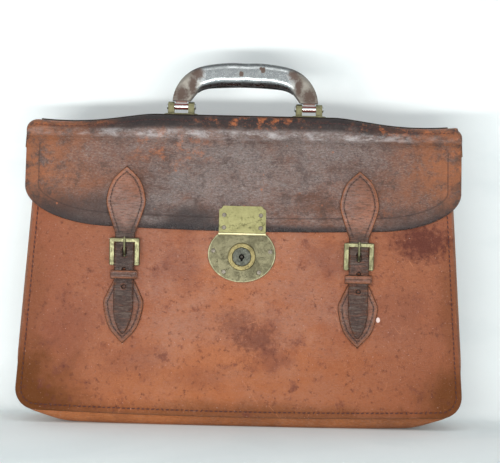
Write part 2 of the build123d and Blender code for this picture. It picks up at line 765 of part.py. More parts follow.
# Handle: two brackets riveted through the top, and an arched grip that swings on their pins
bracket_seat = case_height
pivot_high = bracket_seat + bracket_plate + pivot_rise
for side, sign in sides.items():
    with BuildPart() as bracket:
        with BuildSketch(Plane.XY.offset(bracket_seat)):
            with Locations((sign * bracket_at, top_middle)):
                RectangleRounded(2 * bracket_half_long, 2 * bracket_half_deep, 9.0)
                with Locations(*bracket_rivet_spots):
                    Circle(rivet_radius, mode=Mode.SUBTRACT)
        extrude(amount=bracket_plate)
        fillet(bracket.faces().sort_by(Axis.Z)[-1].outer_wire().edges(), radius=0.6)
        with BuildSketch(Plane.YZ.offset(sign * bracket_at)):
            with Locations((top_middle, pivot_high)):
                Circle(ear_radius)
            with Locations((top_middle, bracket_seat + bracket_plate / 2)):
                Rectangle(2 * ear_radius + 0.6, bracket_plate)
            make_hull()
        extrude(amount=ear_gap_half + ear_width, both=True)
        with BuildSketch(Plane.YZ.offset(sign * bracket_at)):
            with Locations((top_middle, pivot_high - pivot_rise + 2 * ear_radius)):
                Rectangle(4 * ear_radius, 4 * ear_radius)
        extrude(amount=ear_gap_half, both=True, mode=Mode.SUBTRACT)
        with BuildSketch(Plane.YZ.offset(sign * bracket_at)):
            with Locations((top_middle, pivot_high)):
                Circle(pin_radius)
        extrude(amount=ear_gap_half + ear_width, both=True, mode=Mode.SUBTRACT)
        rims = bracket.edges().filter_by(lambda e: e.center().Z > bracket_seat + bracket_plate + 3.0)
        ear_face = ear_gap_half + ear_width - 0.1
        outer_rims = rims.filter_by(lambda e: abs(abs(e.center().X) - bracket_at) > ear_face)
        fillet(outer_rims.filter_by(lambda e: e.length > 8.0), radius=0.8)
    finish(bracket, f"bracket_{side}")

clench = stiffener_top - stiffener_thick - rivet_head
with BuildPart() as bracket_rivets:
    add(bracket_rivet_shafts(clench, bracket_seat + bracket_plate))
    with BuildSketch(Plane.XY.offset(clench), Plane.XY.offset(bracket_seat + bracket_plate)):
        with Locations(*bracket_spots):
            with Locations(*bracket_rivet_spots):
                Circle(rivet_head_radius)
    extrude(amount=rivet_head)
    fillet(bracket_rivets.faces().filter_by(Axis.Z).sort_by(Axis.Z)[-8:].edges(), radius=0.5)
finish(bracket_rivets, "bracket_rivets")

with BuildPart() as handle_pins:
    for sign in sides.values():
        with BuildSketch(Plane.YZ.offset(sign * bracket_at)):
            with Locations((top_middle, pivot_high)):
                Circle(pin_radius)
        extrude(amount=ear_gap_half + ear_width, both=True)
        for end in (-1, 1):
            with BuildSketch(Plane.YZ.offset(sign * bracket_at + end * (ear_gap_half + ear_width))):
                with Locations((top_middle, pivot_high)):
                    Circle(pin_head_radius)
            extrude(amount=end * pin_head)
    ends = handle_pins.faces().filter_by(Axis.X).sort_by(Axis.X)
    caps = [face for face in ends if face.area > 20 and face.is_planar and len(face.edges()) == 1]
    fillet([face.edges()[0] for face in caps], radius=0.9)
finish(handle_pins, "handle_pins")


# Each rib of the grip: how far across and up its outer and inner points lie, as shares of the
# grip's half width and rise at the outside and the inside, and how full and round it is there
grip_ribs = [
    ((1.0, 0.0), (1.0, 0.0), 0.0),
    ((0.986, 0.16), (0.945, 0.24), 0.16),
    ((0.94, 0.385), (0.865, 0.575), 0.4),
    ((0.825, 0.668), (0.745, 0.8), 0.72),
    ((0.65, 0.868), (0.6, 0.9), 0.92),
    ((0.352, 0.984), (0.33, 0.965), 1.0),
    ((0.0, 1.0), (0.0, 1.0), 1.0),
]
foot_low = pivot_high + foot_gap


def rib_section(rib, sign, strip=0.0, proud=0.0):
    """The plane, height, thickness and corner of one rib, or of the seam strip along its inside."""
    (out_across, out_up), (in_across, in_up), full = rib
    outer = Vector(
        sign * out_across * (bracket_at + foot_half),
        top_middle,
        foot_low + out_up * (bracket_seat + arch_top - foot_low),
    )
    inner = Vector(
        sign * in_across * (bracket_at - foot_half),
        top_middle,
        foot_low + in_up * (bracket_seat + arch_inside - foot_low),
    )
    up = (outer - inner).normalized()
    centre = inner + up * (strip / 2 - proud) if strip else (outer + inner) * 0.5
    thick = foot_thick + (grip_thick - foot_thick) * full
    plane = Plane(origin=centre, x_dir=(0, 1, 0), z_dir=Vector(0, 1, 0).cross(up))
    return plane, (outer - inner).length, thick, thick * (0.16 + 0.3 * full)


grip_stations = [(rib, -1) for rib in grip_ribs[:-1]] + [(rib, 1) for rib in reversed(grip_ribs)]

with BuildPart() as handle_seam:
    for rib, sign in grip_stations[2:-2]:
        with BuildSketch(rib_section(rib, sign, seam_strip, seam_proud)[0]):
            RectangleRounded(seam_strip, seam_strip, 1.2)
    loft()
finish(handle_seam, "handle_seam")

lugs_at = [(sign * bracket_at, pivot_high) for sign in sides.values()]
with BuildPart() as handle_lugs:
    with BuildSketch(Plane.XZ.offset(-top_middle)):
        for x, z in lugs_at:
            with Locations((x, z + lug_rise / 2)):
                Rectangle(2 * tab_half, lug_rise)
    extrude(amount=tab_thick / 2, both=True)
    for x, z in lugs_at:
        with BuildSketch(Plane.YZ.offset(x)):
            with Locations((top_middle, z)):
                Circle(barrel_radius)
        extrude(amount=lug_half, both=True)
        with BuildSketch(Plane.YZ.offset(x)):
            with Locations((top_middle, z)):
                Circle(pin_radius + pin_play)
        extrude(amount=lug_half, both=True, mode=Mode.SUBTRACT)
finish(handle_lugs, "handle_lugs")

with BuildPart() as handle_grip:
    for rib, sign in grip_stations:
        plane, tall, thick, corner = rib_section(rib, sign)
        with BuildSketch(plane):
            RectangleRounded(thick, tall, corner)
    loft()
    add(handle_seam.part, mode=Mode.SUBTRACT)
    add(handle_lugs.part, mode=Mode.SUBTRACT)
finish(handle_grip, "handle_grip")
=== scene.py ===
# %% [markdown]
# # A leather flap-over briefcase
# The rigid frame of the case is loaded first. It holds every solid in metres, standing on z = 0
# with its front towards -Y. Metal pieces keep their solids and get finishes. Leather is soft, so
# each leather piece is cut and sewn again here as a mesh that lies where its solid lies.

# %% Load the frame
import math

import bmesh
import bpy
import numpy as np
from mathutils import Matrix, Vector
from mathutils.geometry import delaunay_2d_cdt


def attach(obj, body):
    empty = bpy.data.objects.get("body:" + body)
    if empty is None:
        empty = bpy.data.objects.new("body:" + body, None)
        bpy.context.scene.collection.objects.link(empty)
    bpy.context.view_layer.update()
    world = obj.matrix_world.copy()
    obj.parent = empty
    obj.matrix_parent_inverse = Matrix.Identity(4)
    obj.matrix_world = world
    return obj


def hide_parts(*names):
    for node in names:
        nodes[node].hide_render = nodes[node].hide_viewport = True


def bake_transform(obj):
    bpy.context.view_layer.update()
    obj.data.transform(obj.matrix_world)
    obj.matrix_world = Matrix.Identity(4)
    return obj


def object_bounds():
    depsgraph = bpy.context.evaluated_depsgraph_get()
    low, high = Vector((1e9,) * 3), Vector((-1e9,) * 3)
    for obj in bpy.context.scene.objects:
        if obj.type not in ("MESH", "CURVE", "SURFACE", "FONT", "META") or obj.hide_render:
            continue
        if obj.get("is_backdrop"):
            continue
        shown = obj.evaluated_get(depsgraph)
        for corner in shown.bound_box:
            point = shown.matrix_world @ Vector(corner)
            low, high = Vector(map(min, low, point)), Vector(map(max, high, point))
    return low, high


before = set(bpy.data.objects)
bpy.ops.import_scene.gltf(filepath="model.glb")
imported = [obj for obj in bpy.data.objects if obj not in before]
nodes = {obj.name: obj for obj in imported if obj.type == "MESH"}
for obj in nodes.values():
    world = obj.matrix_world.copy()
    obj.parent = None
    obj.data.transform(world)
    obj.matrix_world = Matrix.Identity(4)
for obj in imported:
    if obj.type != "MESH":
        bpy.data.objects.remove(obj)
cad_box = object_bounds()

# %% [markdown]
# ## Working on the front of the case
# The panels lean towards each other by about three degrees. It is easier to draw leather flat, as
# a saddler does, with x across, `up` along the leather and `out` away from it, all in millimetres.
# Two small functions turn those three numbers into a place in the scene.

# %% Places on the front and back panels
MM = 0.001
CASE_HIGH, TOP_IN = 297.0, 15.0  # over its height, each panel leans in by this much
BASE_HALF = 40.0  # from the middle of the case to a panel's face at the floor
LEAN = math.atan(TOP_IN / CASE_HIGH)
SIN, COS = math.sin(LEAN), math.cos(LEAN)
FRONT_WAY = (0, -COS, SIN)  # straight out of the front panel
STRAP_AT, LOCK_UP = 111.0, 163.0  # how far the straps and the lock lie across and up
SIDES = (("left", -STRAP_AT), ("right", STRAP_AT))


def on_front(x, up, out):
    """Places in metres of points drawn on the front panel's face."""
    x, up, out = np.broadcast_arrays(x, up, out)
    return np.stack([x, -BASE_HALF + up * SIN - out * COS, up * COS + out * SIN], -1) * MM


def on_back(x, up, out):
    """The same on the back panel's face, out of the back."""
    return on_front(x, up, out) * (1, -1, 1)


print("lean of the panels:", round(math.degrees(LEAN), 2), "degrees")

# %% [markdown]
# ## A small language for materials
# A material is a graph of nodes. Writing `mask * 0.5 + grain` is clearer than naming three Math
# nodes, so a thin class wraps one output socket and gives it Python's operators. Everything that
# is not arithmetic goes through one method, `node`, which takes the node's type, its settings and
# its inputs.


# %% Sockets with arithmetic
def add_node(tree, kind, settings=None, inputs=None):
    """Adds a node to a tree: its settings first, then its inputs, each linked or set."""
    made = tree.nodes.new(kind)
    for key, value in (settings or {}).items():
        setattr(made, key, value)
    for key, value in inputs.items() if isinstance(inputs, dict) else enumerate(inputs or []):
        value = getattr(value, "socket", value)
        if hasattr(value, "is_output"):
            tree.links.new(value, made.inputs[key])
        elif isinstance(value, tuple) and made.inputs[key].type == "RGBA":
            made.inputs[key].default_value = (*value[:3], 1.0)
        else:
            made.inputs[key].default_value = value
    return made


class Value:
    """An output socket that can be added, multiplied and compared as a number is."""

    def __init__(self, finish, socket):
        self.finish = finish
        self.socket = socket

    def math(self, operation, *others, clamp=False):
        settings = {"operation": operation, "use_clamp": clamp}
        return self.finish.node("ShaderNodeMath", settings, [self, *others])

    def __add__(self, other):
        return self.math("ADD", other)

    def __mul__(self, other):
        return self.math("MULTIPLY", other)

    def __sub__(self, other):
        return self.math("SUBTRACT", other)

    def __truediv__(self, other):
        return self.math("DIVIDE", other)

    def __rsub__(self, other):
        return self.finish.node("ShaderNodeMath", {"operation": "SUBTRACT"}, [other, self])

    __radd__ = __add__
    __rmul__ = __mul__

    def clip(self):
        """The value held between 0 and 1."""
        return self.math("ADD", 0.0, clamp=True)

    def size(self):
        """The value without its sign."""
        return self.math("ABSOLUTE")

    def step(self, low, high):
        """A smooth rise from 0 below `low` to 1 above `high`."""
        settings = {"interpolation_type": "SMOOTHSTEP"}
        inputs = {"Value": self, "From Min": low, "From Max": high}
        return self.finish.node("ShaderNodeMapRange", settings, inputs)


class Finish:
    """One material under construction, with the patterns that leather and metal need."""

    def __init__(self, name):
        self.material = bpy.data.materials.new(name)
        self.material.use_nodes = True
        self.tree = self.material.node_tree
        self.tree.nodes.clear()
        self.place = self.node("ShaderNodeTexCoord", output="Object")

    def node(self, kind, settings=None, inputs=None, output=0):
        """Adds a node and gives back one of its outputs."""
        made = add_node(self.tree, kind, settings, inputs)
        return Value(self, made.outputs[output]) if made.outputs else None

    def noise(self, scale, detail=4.0, rough=0.55, vector=None, distort=0.0):
        """Soft random variation; the scale is in lumps per metre."""
        inputs = {"Vector": vector or self.place, "Scale": scale, "Detail": detail}
        inputs.update(Roughness=rough, Distortion=distort)
        return self.node("ShaderNodeTexNoise", None, inputs)

    def cells(self, scale, feature="F1", vector=None):
        """The distance to the nearest of many scattered points, as in pores or cracks."""
        inputs = {"Vector": vector or self.place, "Scale": scale}
        return self.node("ShaderNodeTexVoronoi", {"feature": feature}, inputs, "Distance")

    def stretched(self, size, turn=(0.0, 0.0, 0.0)):
        """Object coordinates squeezed along an axis, for scratches and brushing."""
        inputs = {"Vector": self.place, "Scale": size, "Rotation": turn}
        return self.node("ShaderNodeMapping", None, inputs)

    def attribute(self, name):
        """A number stored on the mesh's points."""
        return self.node("ShaderNodeAttribute", {"attribute_name": name}, None, "Fac")

    def axis(self, letter):
        """One of the object coordinates, in metres."""
        return self.node("ShaderNodeSeparateXYZ", None, [self.place], letter)

    def reach(self, x, z, wide, tall, across=None):
        """The distance from x and z on the front, where 1 is the rim of an oval."""
        dx, dz = ((across or self.axis("X")) - x) / wide, (self.axis("Z") - z) / tall
        return (dx * dx + dz * dz).math("SQRT")

    def blob(self, x, z, wide, tall):
        """A soft round mask on the front, centred at x and z in metres."""
        return (1.0 - self.reach(x, z, wide, tall)).clip()

    def mix(self, factor, first, second):
        """Two colours mixed by a factor."""
        return self.node("ShaderNodeMix", {"data_type": "RGBA"}, {0: factor, 6: first, 7: second}, 2)

    def bump(self, height, distance, strength=1.0, under=None):
        """A relief whose height of 1 is `distance` metres."""
        inputs = {"Height": height, "Distance": distance, "Strength": strength}
        inputs.update({} if under is None else {"Normal": under})
        return self.node("ShaderNodeBump", None, inputs)

    def surface(self, **sockets):
        """Ends the material in one Principled surface."""
        names = {key.replace("_", " "): value for key, value in sockets.items()}
        shader = self.node("ShaderNodeBsdfPrincipled", None, names)
        self.node("ShaderNodeOutputMaterial", None, {"Surface": shader})
        return self.material


def paint(red, green, blue):
    """A colour as the eye reads it on a screen, 0 to 255, as the linear light that nodes use."""
    return tuple(
        c / 12.92 if c <= 0.04045 else ((c + 0.055) / 1.055) ** 2.4
        for c in (red / 255, green / 255, blue / 255)
    )


print("material helpers ready")

# %% [markdown]
# ## Cutting leather
# A saddler cuts a flat shape and the shape's edge tells how it was made: rounded, stained and
# stitched at an even distance. So each flat piece starts as an outline. Points are laid in rows
# that follow the edge, where the relief is fine, and on a grid inside. A constrained Delaunay
# triangulation joins them, which follows any outline and needs no tidy quad layout. Each point
# keeps its distance from the cut edge as an attribute, so that the finish can darken the rim.


# %% Outlines
def arc(before, here, after, radius, count):
    """A corner rounded off; `count` gives the number of steps for the arc's length."""
    to_before = (before - here) / np.linalg.norm(before - here)
    to_after = (after - here) / np.linalg.norm(after - here)
    half = math.acos(np.clip(to_before @ to_after, -1, 1)) / 2
    middle = (to_before + to_after) / np.linalg.norm(to_before + to_after)
    centre = here + middle * radius / math.sin(half)
    back_off = radius / math.tan(half)
    first, last = here + to_before * back_off - centre, here + to_after * back_off - centre
    start = math.atan2(first[1], first[0])
    turn = (math.atan2(last[1], last[0]) - start + math.pi) % (2 * math.pi) - math.pi
    steps = count(abs(turn) * radius)
    turns = start + turn * np.arange(steps + 1) / steps
    return centre + radius * np.stack([np.cos(turns), np.sin(turns)], -1)


def rounded(corners, radii, step):
    """A closed outline through corner points, each rounded, with points about `step` apart."""
    corners = np.array(corners, float)
    around = zip(np.roll(corners, 1, axis=0), corners, np.roll(corners, -1, axis=0), radii)
    path = [arc(*corner, lambda run: max(2, int(run / step) + 1)) for corner in around]
    return spaced(np.concatenate(path), step)


def polyline_at(x, corners, radii):
    """Height of an open line with rounded corners at places x."""
    corners = np.array(corners, float)
    path = [arc(*corner, lambda run: 13) for corner in zip(corners, corners[1:], corners[2:], radii)]
    path = np.concatenate([corners[:1], *path, corners[-1:]])
    return np.interp(x, path[:, 0], path[:, 1])


def spaced(path, step):
    """A closed path with extra points on its long runs."""
    made = []
    for start, end in zip(path, np.roll(path, -1, axis=0)):
        runs = max(1, int(round(np.linalg.norm(end - start) / step)))
        made += [start + (end - start) * k / runs for k in range(runs)]
    return np.array(made)


def inset(outline, distance):
    """A closed outline drawn inwards; the outline runs anticlockwise."""
    before, after = np.roll(outline, 1, axis=0), np.roll(outline, -1, axis=0)
    along = after - before
    along /= np.maximum(np.linalg.norm(along, axis=1, keepdims=True), 1e-9)
    moved = outline + distance * np.stack([-along[:, 1], along[:, 0]], -1)
    return moved[edge_distance(moved, outline) > 0.85 * distance]


def edge_distance(points, outline):
    """How far each point is from an outline."""
    start, end = outline, np.roll(outline, -1, axis=0)
    run = end - start
    length = np.maximum((run**2).sum(1), 1e-12)
    best = np.full(len(points), 1e9)
    for part in np.array_split(np.arange(len(points)), max(1, len(points) // 2000)):
        gap = points[part][:, None] - start[None]
        share = np.clip((gap * run[None]).sum(2) / length, 0, 1)
        off = gap - share[..., None] * run[None]
        best[part] = np.sqrt((off**2).sum(2)).min(1)
    return best


def smooth(value, low, high):
    """A smooth rise from 0 to 1 between two values."""
    share = np.clip((value - low) / (high - low), 0, 1)
    return share * share * (3 - 2 * share)


print("outline helpers ready")


# %% Sheets with a rounded edge
def new_mesh(name, points, faces, materials, values=None, slots=None):
    """A smooth-shaded object from points in metres, with numbers stored on its points."""
    mesh = bpy.data.meshes.new(name)
    mesh.from_pydata([tuple(p) for p in points], [], [tuple(int(i) for i in f) for f in faces])
    for key, data in (values or {}).items():
        layer = mesh.attributes.new(key, "FLOAT", "POINT")
        layer.data.foreach_set("value", np.asarray(data, np.float32))
    for material in materials:
        mesh.materials.append(material)
    if slots is not None:
        mesh.polygons.foreach_set("material_index", np.asarray(slots, np.int32))
    mesh.polygons.foreach_set("use_smooth", np.ones(len(mesh.polygons), bool))
    mesh.update()
    made = bpy.data.objects.new(name, mesh)
    bpy.context.scene.collection.objects.link(made)
    return made


def cut_sheet(outline, rows, grid, holes):
    """Flat points and triangles inside an outline, and how far each is from an edge and a hole."""
    groups = [outline] + [inset(outline, row) for row in rows]
    low, high = outline.min(0), outline.max(0)
    shift = np.random.default_rng(1)
    xs = np.arange(low[0], high[0] + grid, grid)
    ys = np.arange(low[1], high[1] + grid, grid * 0.87)
    field = np.array([(x + (j % 2) * grid / 2, y) for j, y in enumerate(ys) for x in xs])
    field += shift.uniform(-0.08, 0.08, field.shape) * grid
    groups.append(field[edge_distance(field, outline) > rows[-1] + grid * 0.6])
    points = np.concatenate(groups)
    for hole in holes:
        middle = hole.mean(0)
        reach = np.linalg.norm(hole - middle, axis=1).max()
        points = points[np.linalg.norm(points - middle, axis=1) > reach + rows[1] + 0.2]
        rims = [middle + (hole - middle) * (1 + row / reach) for row in (0, *rows[:2])]
        points = np.concatenate([points] + rims)
    result = delaunay_2d_cdt([Vector(p) for p in points], [], [list(range(len(outline)))], 1, 1e-4)
    flat = np.array([tuple(v) for v in result[0]])
    faces = np.array([tuple(f) for f in result[2]], int)
    edge = edge_distance(flat, outline)
    hole_gap = np.full(len(flat), 99.0)
    middles = flat[faces].mean(1)
    for hole in holes:
        hole_gap = np.minimum(hole_gap, edge_distance(flat, hole))
        reach = np.linalg.norm(hole - hole.mean(0), axis=1).max()
        near = np.linalg.norm(middles - hole.mean(0), axis=1) < reach
        inside = near & (edge_distance(middles, hole) > 1e-6)
        inside &= np.array([within(point, hole) for point in middles])
        faces, middles = faces[~inside], middles[~inside]
    used = np.unique(faces)
    order = np.zeros(len(flat), int)
    order[used] = np.arange(len(used))
    return flat[used], order[faces], np.minimum(edge, hole_gap)[used], hole_gap[used]


def within(point, ring):
    """Whether a point lies inside a convex anticlockwise ring."""
    run = np.roll(ring, -1, axis=0) - ring
    gap = point - ring
    return bool((run[:, 0] * gap[:, 1] - run[:, 1] * gap[:, 0] > 0).all())


def circle(x, y, radius, count=14):
    """A ring of points, anticlockwise."""
    turns = np.linspace(0, 2 * math.pi, count, endpoint=False)
    return np.stack([x + radius * np.cos(turns), y + radius * np.sin(turns)], -1)


def rim_round(edge, thick):
    """How full a leather's section is near its edge: 0 at the rim, 1 where it has its thickness."""
    return np.sqrt(np.clip(1 - (1 - np.clip(edge / (thick * 0.4), 0, 1)) ** 2, 0, 1))


def sheet(name, outline, thick, materials, rows, grid, lift, place, bed=0.0, holes=()):
    """Leather of one thickness with a rounded edge, lying on its bed; `lift` is its face's relief."""
    rows = (thick * 0.12, thick * 0.4) + rows
    flat, faces, edge, hole_gap = cut_sheet(outline, rows, grid, holes)
    x, up = flat[:, 0], flat[:, 1]
    relief = lift(x, up, edge)
    round_off = rim_round(edge, thick)
    half = thick / 2
    top = place(x, up, bed + half + half * round_off + relief * smooth(edge, 0, thick))
    bottom = place(x, up, bed + half - half * round_off)
    rim = edge < 1e-3
    low_index = np.where(rim, np.arange(len(flat)), len(flat) + np.cumsum(~rim) - 1)
    points = np.concatenate([top, bottom[~rim]])
    all_faces = np.concatenate([faces, low_index[faces][:, ::-1]])
    slots = np.repeat([0, 1], len(faces))
    values = {"edge": edge, "hole": hole_gap}
    values = {key: np.concatenate([gap, gap[~rim]]) * MM for key, gap in values.items()}
    if place is on_back:
        all_faces = all_faces[:, ::-1]
    return new_mesh(name, points, all_faces, materials, values, slots)


print("sheet cutter ready")


# %% [markdown]
# ## Stitches
# A saddler's stitches are all alike and follow the edge at an even distance, which is just what
# Geometry Nodes are for. The tree walks along a line, sets a point every few millimetres and lays
# one short, fat thread on each. Its sizes are named inputs, so one tree sews every seam.

# %% The stitching tree
def stitch_tree():
    """Stitches along the edges of a wire mesh, and the identifiers of the tree's inputs."""
    tree = bpy.data.node_groups.new("Stitches", "GeometryNodeTree")
    kinds = {"Geometry": "Geometry", "Pitch": "Float", "Length": "Float", "Thickness": "Float"}
    kinds.update(Slant="Float", Thread="Material", Seed="Int")
    sizes = {}
    for name, kind in kinds.items():
        made = tree.interface.new_socket(name=name, in_out="INPUT", socket_type="NodeSocket" + kind)
        sizes[name] = made.identifier
    tree.interface.new_socket(name="Geometry", in_out="OUTPUT", socket_type="NodeSocketGeometry")

    def add(kind, inputs=None, **settings):
        return add_node(tree, kind, settings, inputs).outputs

    given = add("NodeGroupInput")
    line = add("GeometryNodeMeshToCurve", {"Mesh": given["Geometry"]})
    walk = {"Curve": line["Curve"], "Length": given["Pitch"]}
    spots = add("GeometryNodeCurveToPoints", walk, mode="LENGTH")
    bead = add("GeometryNodeMeshUVSphere", {"Segments": 8, "Rings": 6, "Radius": 1.0})
    thick = given["Thickness"]
    size = add("ShaderNodeCombineXYZ", {"X": given["Length"], "Y": thick, "Z": thick})
    wobble = add("FunctionNodeRandomValue", {2: -0.08, 3: 0.08, "Seed": given["Seed"]}, data_type="FLOAT")
    lean = add("ShaderNodeCombineXYZ", {"Z": add("ShaderNodeMath", [given["Slant"], wobble[1]])[0]})
    along = add("FunctionNodeAlignRotationToVector", {"Vector": spots["Tangent"]}, axis="X")
    facing = add("GeometryNodeInputNamedAttribute", {"Name": "face"}, data_type="FLOAT_VECTOR")
    level = {"Rotation": along["Rotation"], "Vector": facing[0]}
    square = add("FunctionNodeAlignRotationToVector", level, axis="Z", pivot_axis="X")
    tilt = {"Rotation": square["Rotation"], "Rotate By": add("FunctionNodeEulerToRotation", [lean[0]])[0]}
    turned = add("FunctionNodeRotateRotation", tilt, rotation_space="LOCAL")
    laying = {"Points": spots["Points"], "Instance": bead["Mesh"]}
    laying.update(Rotation=turned["Rotation"], Scale=size[0])
    laid = add("GeometryNodeInstanceOnPoints", laying)
    real = add("GeometryNodeRealizeInstances", {"Geometry": laid["Instances"]})
    threaded = {"Geometry": real["Geometry"], "Material": given["Thread"]}
    add("NodeGroupOutput", {"Geometry": add("GeometryNodeSetMaterial", threaded)["Geometry"]})
    return tree, sizes


STITCHES, STITCH_SIZES = stitch_tree()


def sew(name, places, thread, pitch, length, thick):
    """Runs stitches along a line of points on the front and returns them as one plain mesh."""
    count = len(places)
    wire = bpy.data.meshes.new(name + "_line")
    wire.from_pydata([tuple(p) for p in places], [(k, k + 1) for k in range(count - 1)], [])
    layer = wire.attributes.new("face", "FLOAT_VECTOR", "POINT")
    layer.data.foreach_set("vector", np.tile(np.array(FRONT_WAY, np.float32), count))
    holder = bpy.data.objects.new(name + "_line", wire)
    bpy.context.scene.collection.objects.link(holder)
    sewn = holder.modifiers.new("Stitches", "NODES")
    sewn.node_group = STITCHES
    chosen = {"Pitch": pitch * MM, "Length": length * MM, "Thickness": thick * MM}
    chosen.update(Slant=0.12, Thread=thread, Seed=3)
    for key, value in chosen.items():
        sewn[STITCH_SIZES[key]] = value
    bpy.context.view_layer.update()
    result = holder.evaluated_get(bpy.context.evaluated_depsgraph_get())
    mesh = bpy.data.meshes.new_from_object(result)
    bpy.data.objects.remove(holder)
    made = bpy.data.objects.new(name, mesh)
    bpy.context.scene.collection.objects.link(made)
    mesh.polygons.foreach_set("use_smooth", np.ones(len(mesh.polygons), bool))
    print(name, "has", len(mesh.polygons), "faces of thread")
    return made

# %% [markdown]
# ## Finishes
# The case is one hide stained in several lots. The panels were a warm tan; hands, rain and dust
# have darkened their corners and what lies close under the flap. The flap is a deeper brown with
# almost black edges, and where it rubs the tan shows through again. The brass has browned. Some
# light and shade is painted into the colours: sheen, glints and shade on the leather, highlights
# on the flap's ridge, the hasp's lip and the grip's barrels, and shade on the panel's sides, the
# grip's top and round holes.


# %% Leather
RIM = (0.25, 0.16, 0.12)
RIM_WIDE = 0.0026


def leather(
    name, base, dark, pale, grain=0.0004, gloss=0.42, rim=RIM, rim_wide=RIM_WIDE, sheen=0.0,
    creased=0.0, glinting=0.16, streak=0.6,
):
    """Worn leather: pores, creases, soft stains, scuffs, its edge's colour, and painted sheen, glints and
    shade.
    """
    f = Finish(name)
    cloud = f.noise(9.0, 6.0, 0.62).step(0.36, 0.68)
    patches = f.noise(34.0, 6.0, 0.7, distort=0.5).step(0.5, 0.72)
    fine = f.noise(210.0, 5.0, 0.72).step(0.38, 0.66)
    colour = f.mix(cloud * 0.7, base, dark)
    colour = f.mix(patches * 0.4, colour, pale)
    colour = f.mix(fine * 0.28, colour, dark)
    pores = f.cells(1100.0).step(0.08, 0.5)
    wrinkles = f.cells(420.0, "DISTANCE_TO_EDGE").step(0.0, 0.16)
    colour = f.mix((1.0 - pores) * 0.3, colour, dark)
    # Painted sheen: grey patches mixed into the colour, fewer towards the sides; the same mask makes the
    # leather a little smoother.
    blotch = f.noise(16.0, 7.0, 0.7, vector=f.stretched((0.7, 1.0, 1.3))).step(0.36, 0.6)
    lines = f.noise(420.0, 5.0, 0.8, vector=f.stretched((0.7, 1.0, 1.25))).step(0.36, 0.66)
    painted_sheen_mask = blotch * (lines * 0.6 + 0.4) * (1.0 - f.axis("X").size().step(0.06, 0.19) * 0.75)
    colour = f.mix(painted_sheen_mask * sheen, colour, (0.27, 0.265, 0.268))
    # Painted shade in the grain's fine creases, then painted glints on the grain.
    crease_shade = 1.0 - f.noise(470.0, 3.0, 0.7, vector=f.stretched((streak, 1.0, 1.5))).step(0.36, 0.52)
    colour = f.mix(crease_shade * glinting, colour, tuple(c * 0.4 for c in dark))
    glints = f.noise(680.0, 4.0, 0.75, vector=f.stretched((streak, 1.0, 1.4))).step(0.48, 0.64)
    colour = f.mix(glints * (blotch * 0.6 + 0.4) * glinting, colour, (0.34, 0.30, 0.28))
    edge = f.attribute("edge") + (f.noise(420.0, 3.0) - 0.5) * 0.0016
    rimmed = 1.0 - edge.step(0.0004, rim_wide)
    colour = f.mix(rimmed * 0.85, colour, rim)
    relief = pores * 0.5 + wrinkles * 0.5 + f.noise(800.0, 3.0) * 0.5 + f.noise(110.0, 4.0) * 1.2
    relief = relief + lines * 0.8 - f.noise(1.0, 3.0, vector=f.stretched((90.0, 300.0, 420.0))) * creased
    skin = f.bump(relief, grain, 0.9)
    rough = (gloss + patches * 0.14 + (1.0 - pores) * 0.14 - painted_sheen_mask * 0.1 - rimmed * 0.05).clip()
    return f, colour, rough, skin


def off_line(f, place, low, high):
    """A mask that is 0 on a line at an even distance from the cut edge, and 1 beside it."""
    return (f.attribute("edge") - place).size().step(low, high)


print("leather can be mixed")


# %% Strap leather and stains
def stained(f, colour, spots, stain, scale=30.0, ragged=0.9):
    """Darkens a colour in soft spots of (x, z, wide, tall, strength), in metres."""
    noise = (f.noise(scale, 6.0, 0.7) - 0.5) * ragged
    for x, z, wide, tall, strength in spots:
        spot = (f.blob(x, z, wide, tall) + noise).step(0.12, 0.75)
        colour = f.mix(spot * strength, colour, stain)
    return colour


def strap_finish(name, blackened, sheen, sewn_from):
    """Strap leather: leaves sewn above a height, with pale cut edges; tails blackened by use."""
    looks = {"rim": paint(176, 108, 68), "sheen": sheen, "gloss": 0.33}
    looks.update(grain=0.0011, creased=2.4, glinting=0.5, streak=0.3)
    tans = paint(184, 124, 98), paint(102, 66, 52), paint(196, 134, 102)
    f, colour, rough, skin = leather(name, *tans, **looks)
    tail = 1.0 - (f.axis("Z") + (f.noise(60.0, 3.0) - 0.5) * 0.02).step(0.178, 0.196)
    tail = tail * blackened
    streaks = f.noise(1.0, 5.0, 0.7, vector=f.stretched((60.0, 100.0, 420.0)))
    colour = f.mix(tail * (streaks.step(0.36, 0.5) * 0.5 + 0.5), colour, paint(40, 31, 30))
    # Painted highlights: warm light streaks along the creases of the tail.
    colour = f.mix(tail * streaks.step(0.46, 0.64) * 0.65, colour, (0.25, 0.19, 0.16))
    seam = (1.0 - off_line(f, 0.0042, 0.0003, 0.0011)) * f.axis("Z").step(sewn_from, sewn_from + 0.006)
    colour = f.mix(seam * 0.45, colour, paint(40, 24, 22))
    # A dark line along the cut edge: partly grime, partly painted shade at the edge of the leather.
    colour = f.mix((1.0 - f.attribute("edge").step(0.0004, 0.0011)) * 0.8, colour, paint(58, 34, 26))
    # Painted shade: near-black rims round the punched holes.
    colour = f.mix(1.0 - f.attribute("hole").step(0.0004, 0.0014), colour, paint(20, 14, 13))
    skin = f.bump(1.0 - seam, 0.00035, 1.0, skin)
    return f.surface(Base_Color=colour, Roughness=rough, Normal=skin, Specular_IOR_Level=0.5)


strap_hide = strap_finish("strap_leather", 0.85, 0.6, 0.178)
chape_hide = strap_finish("chape_leather", 0.2, 0.3, 0.0)
print("strap leather ready")

# %% Panel leather
TAN, TAN_DARK, TAN_PALE = paint(165, 103, 71), paint(140, 79, 52), paint(186, 128, 96)


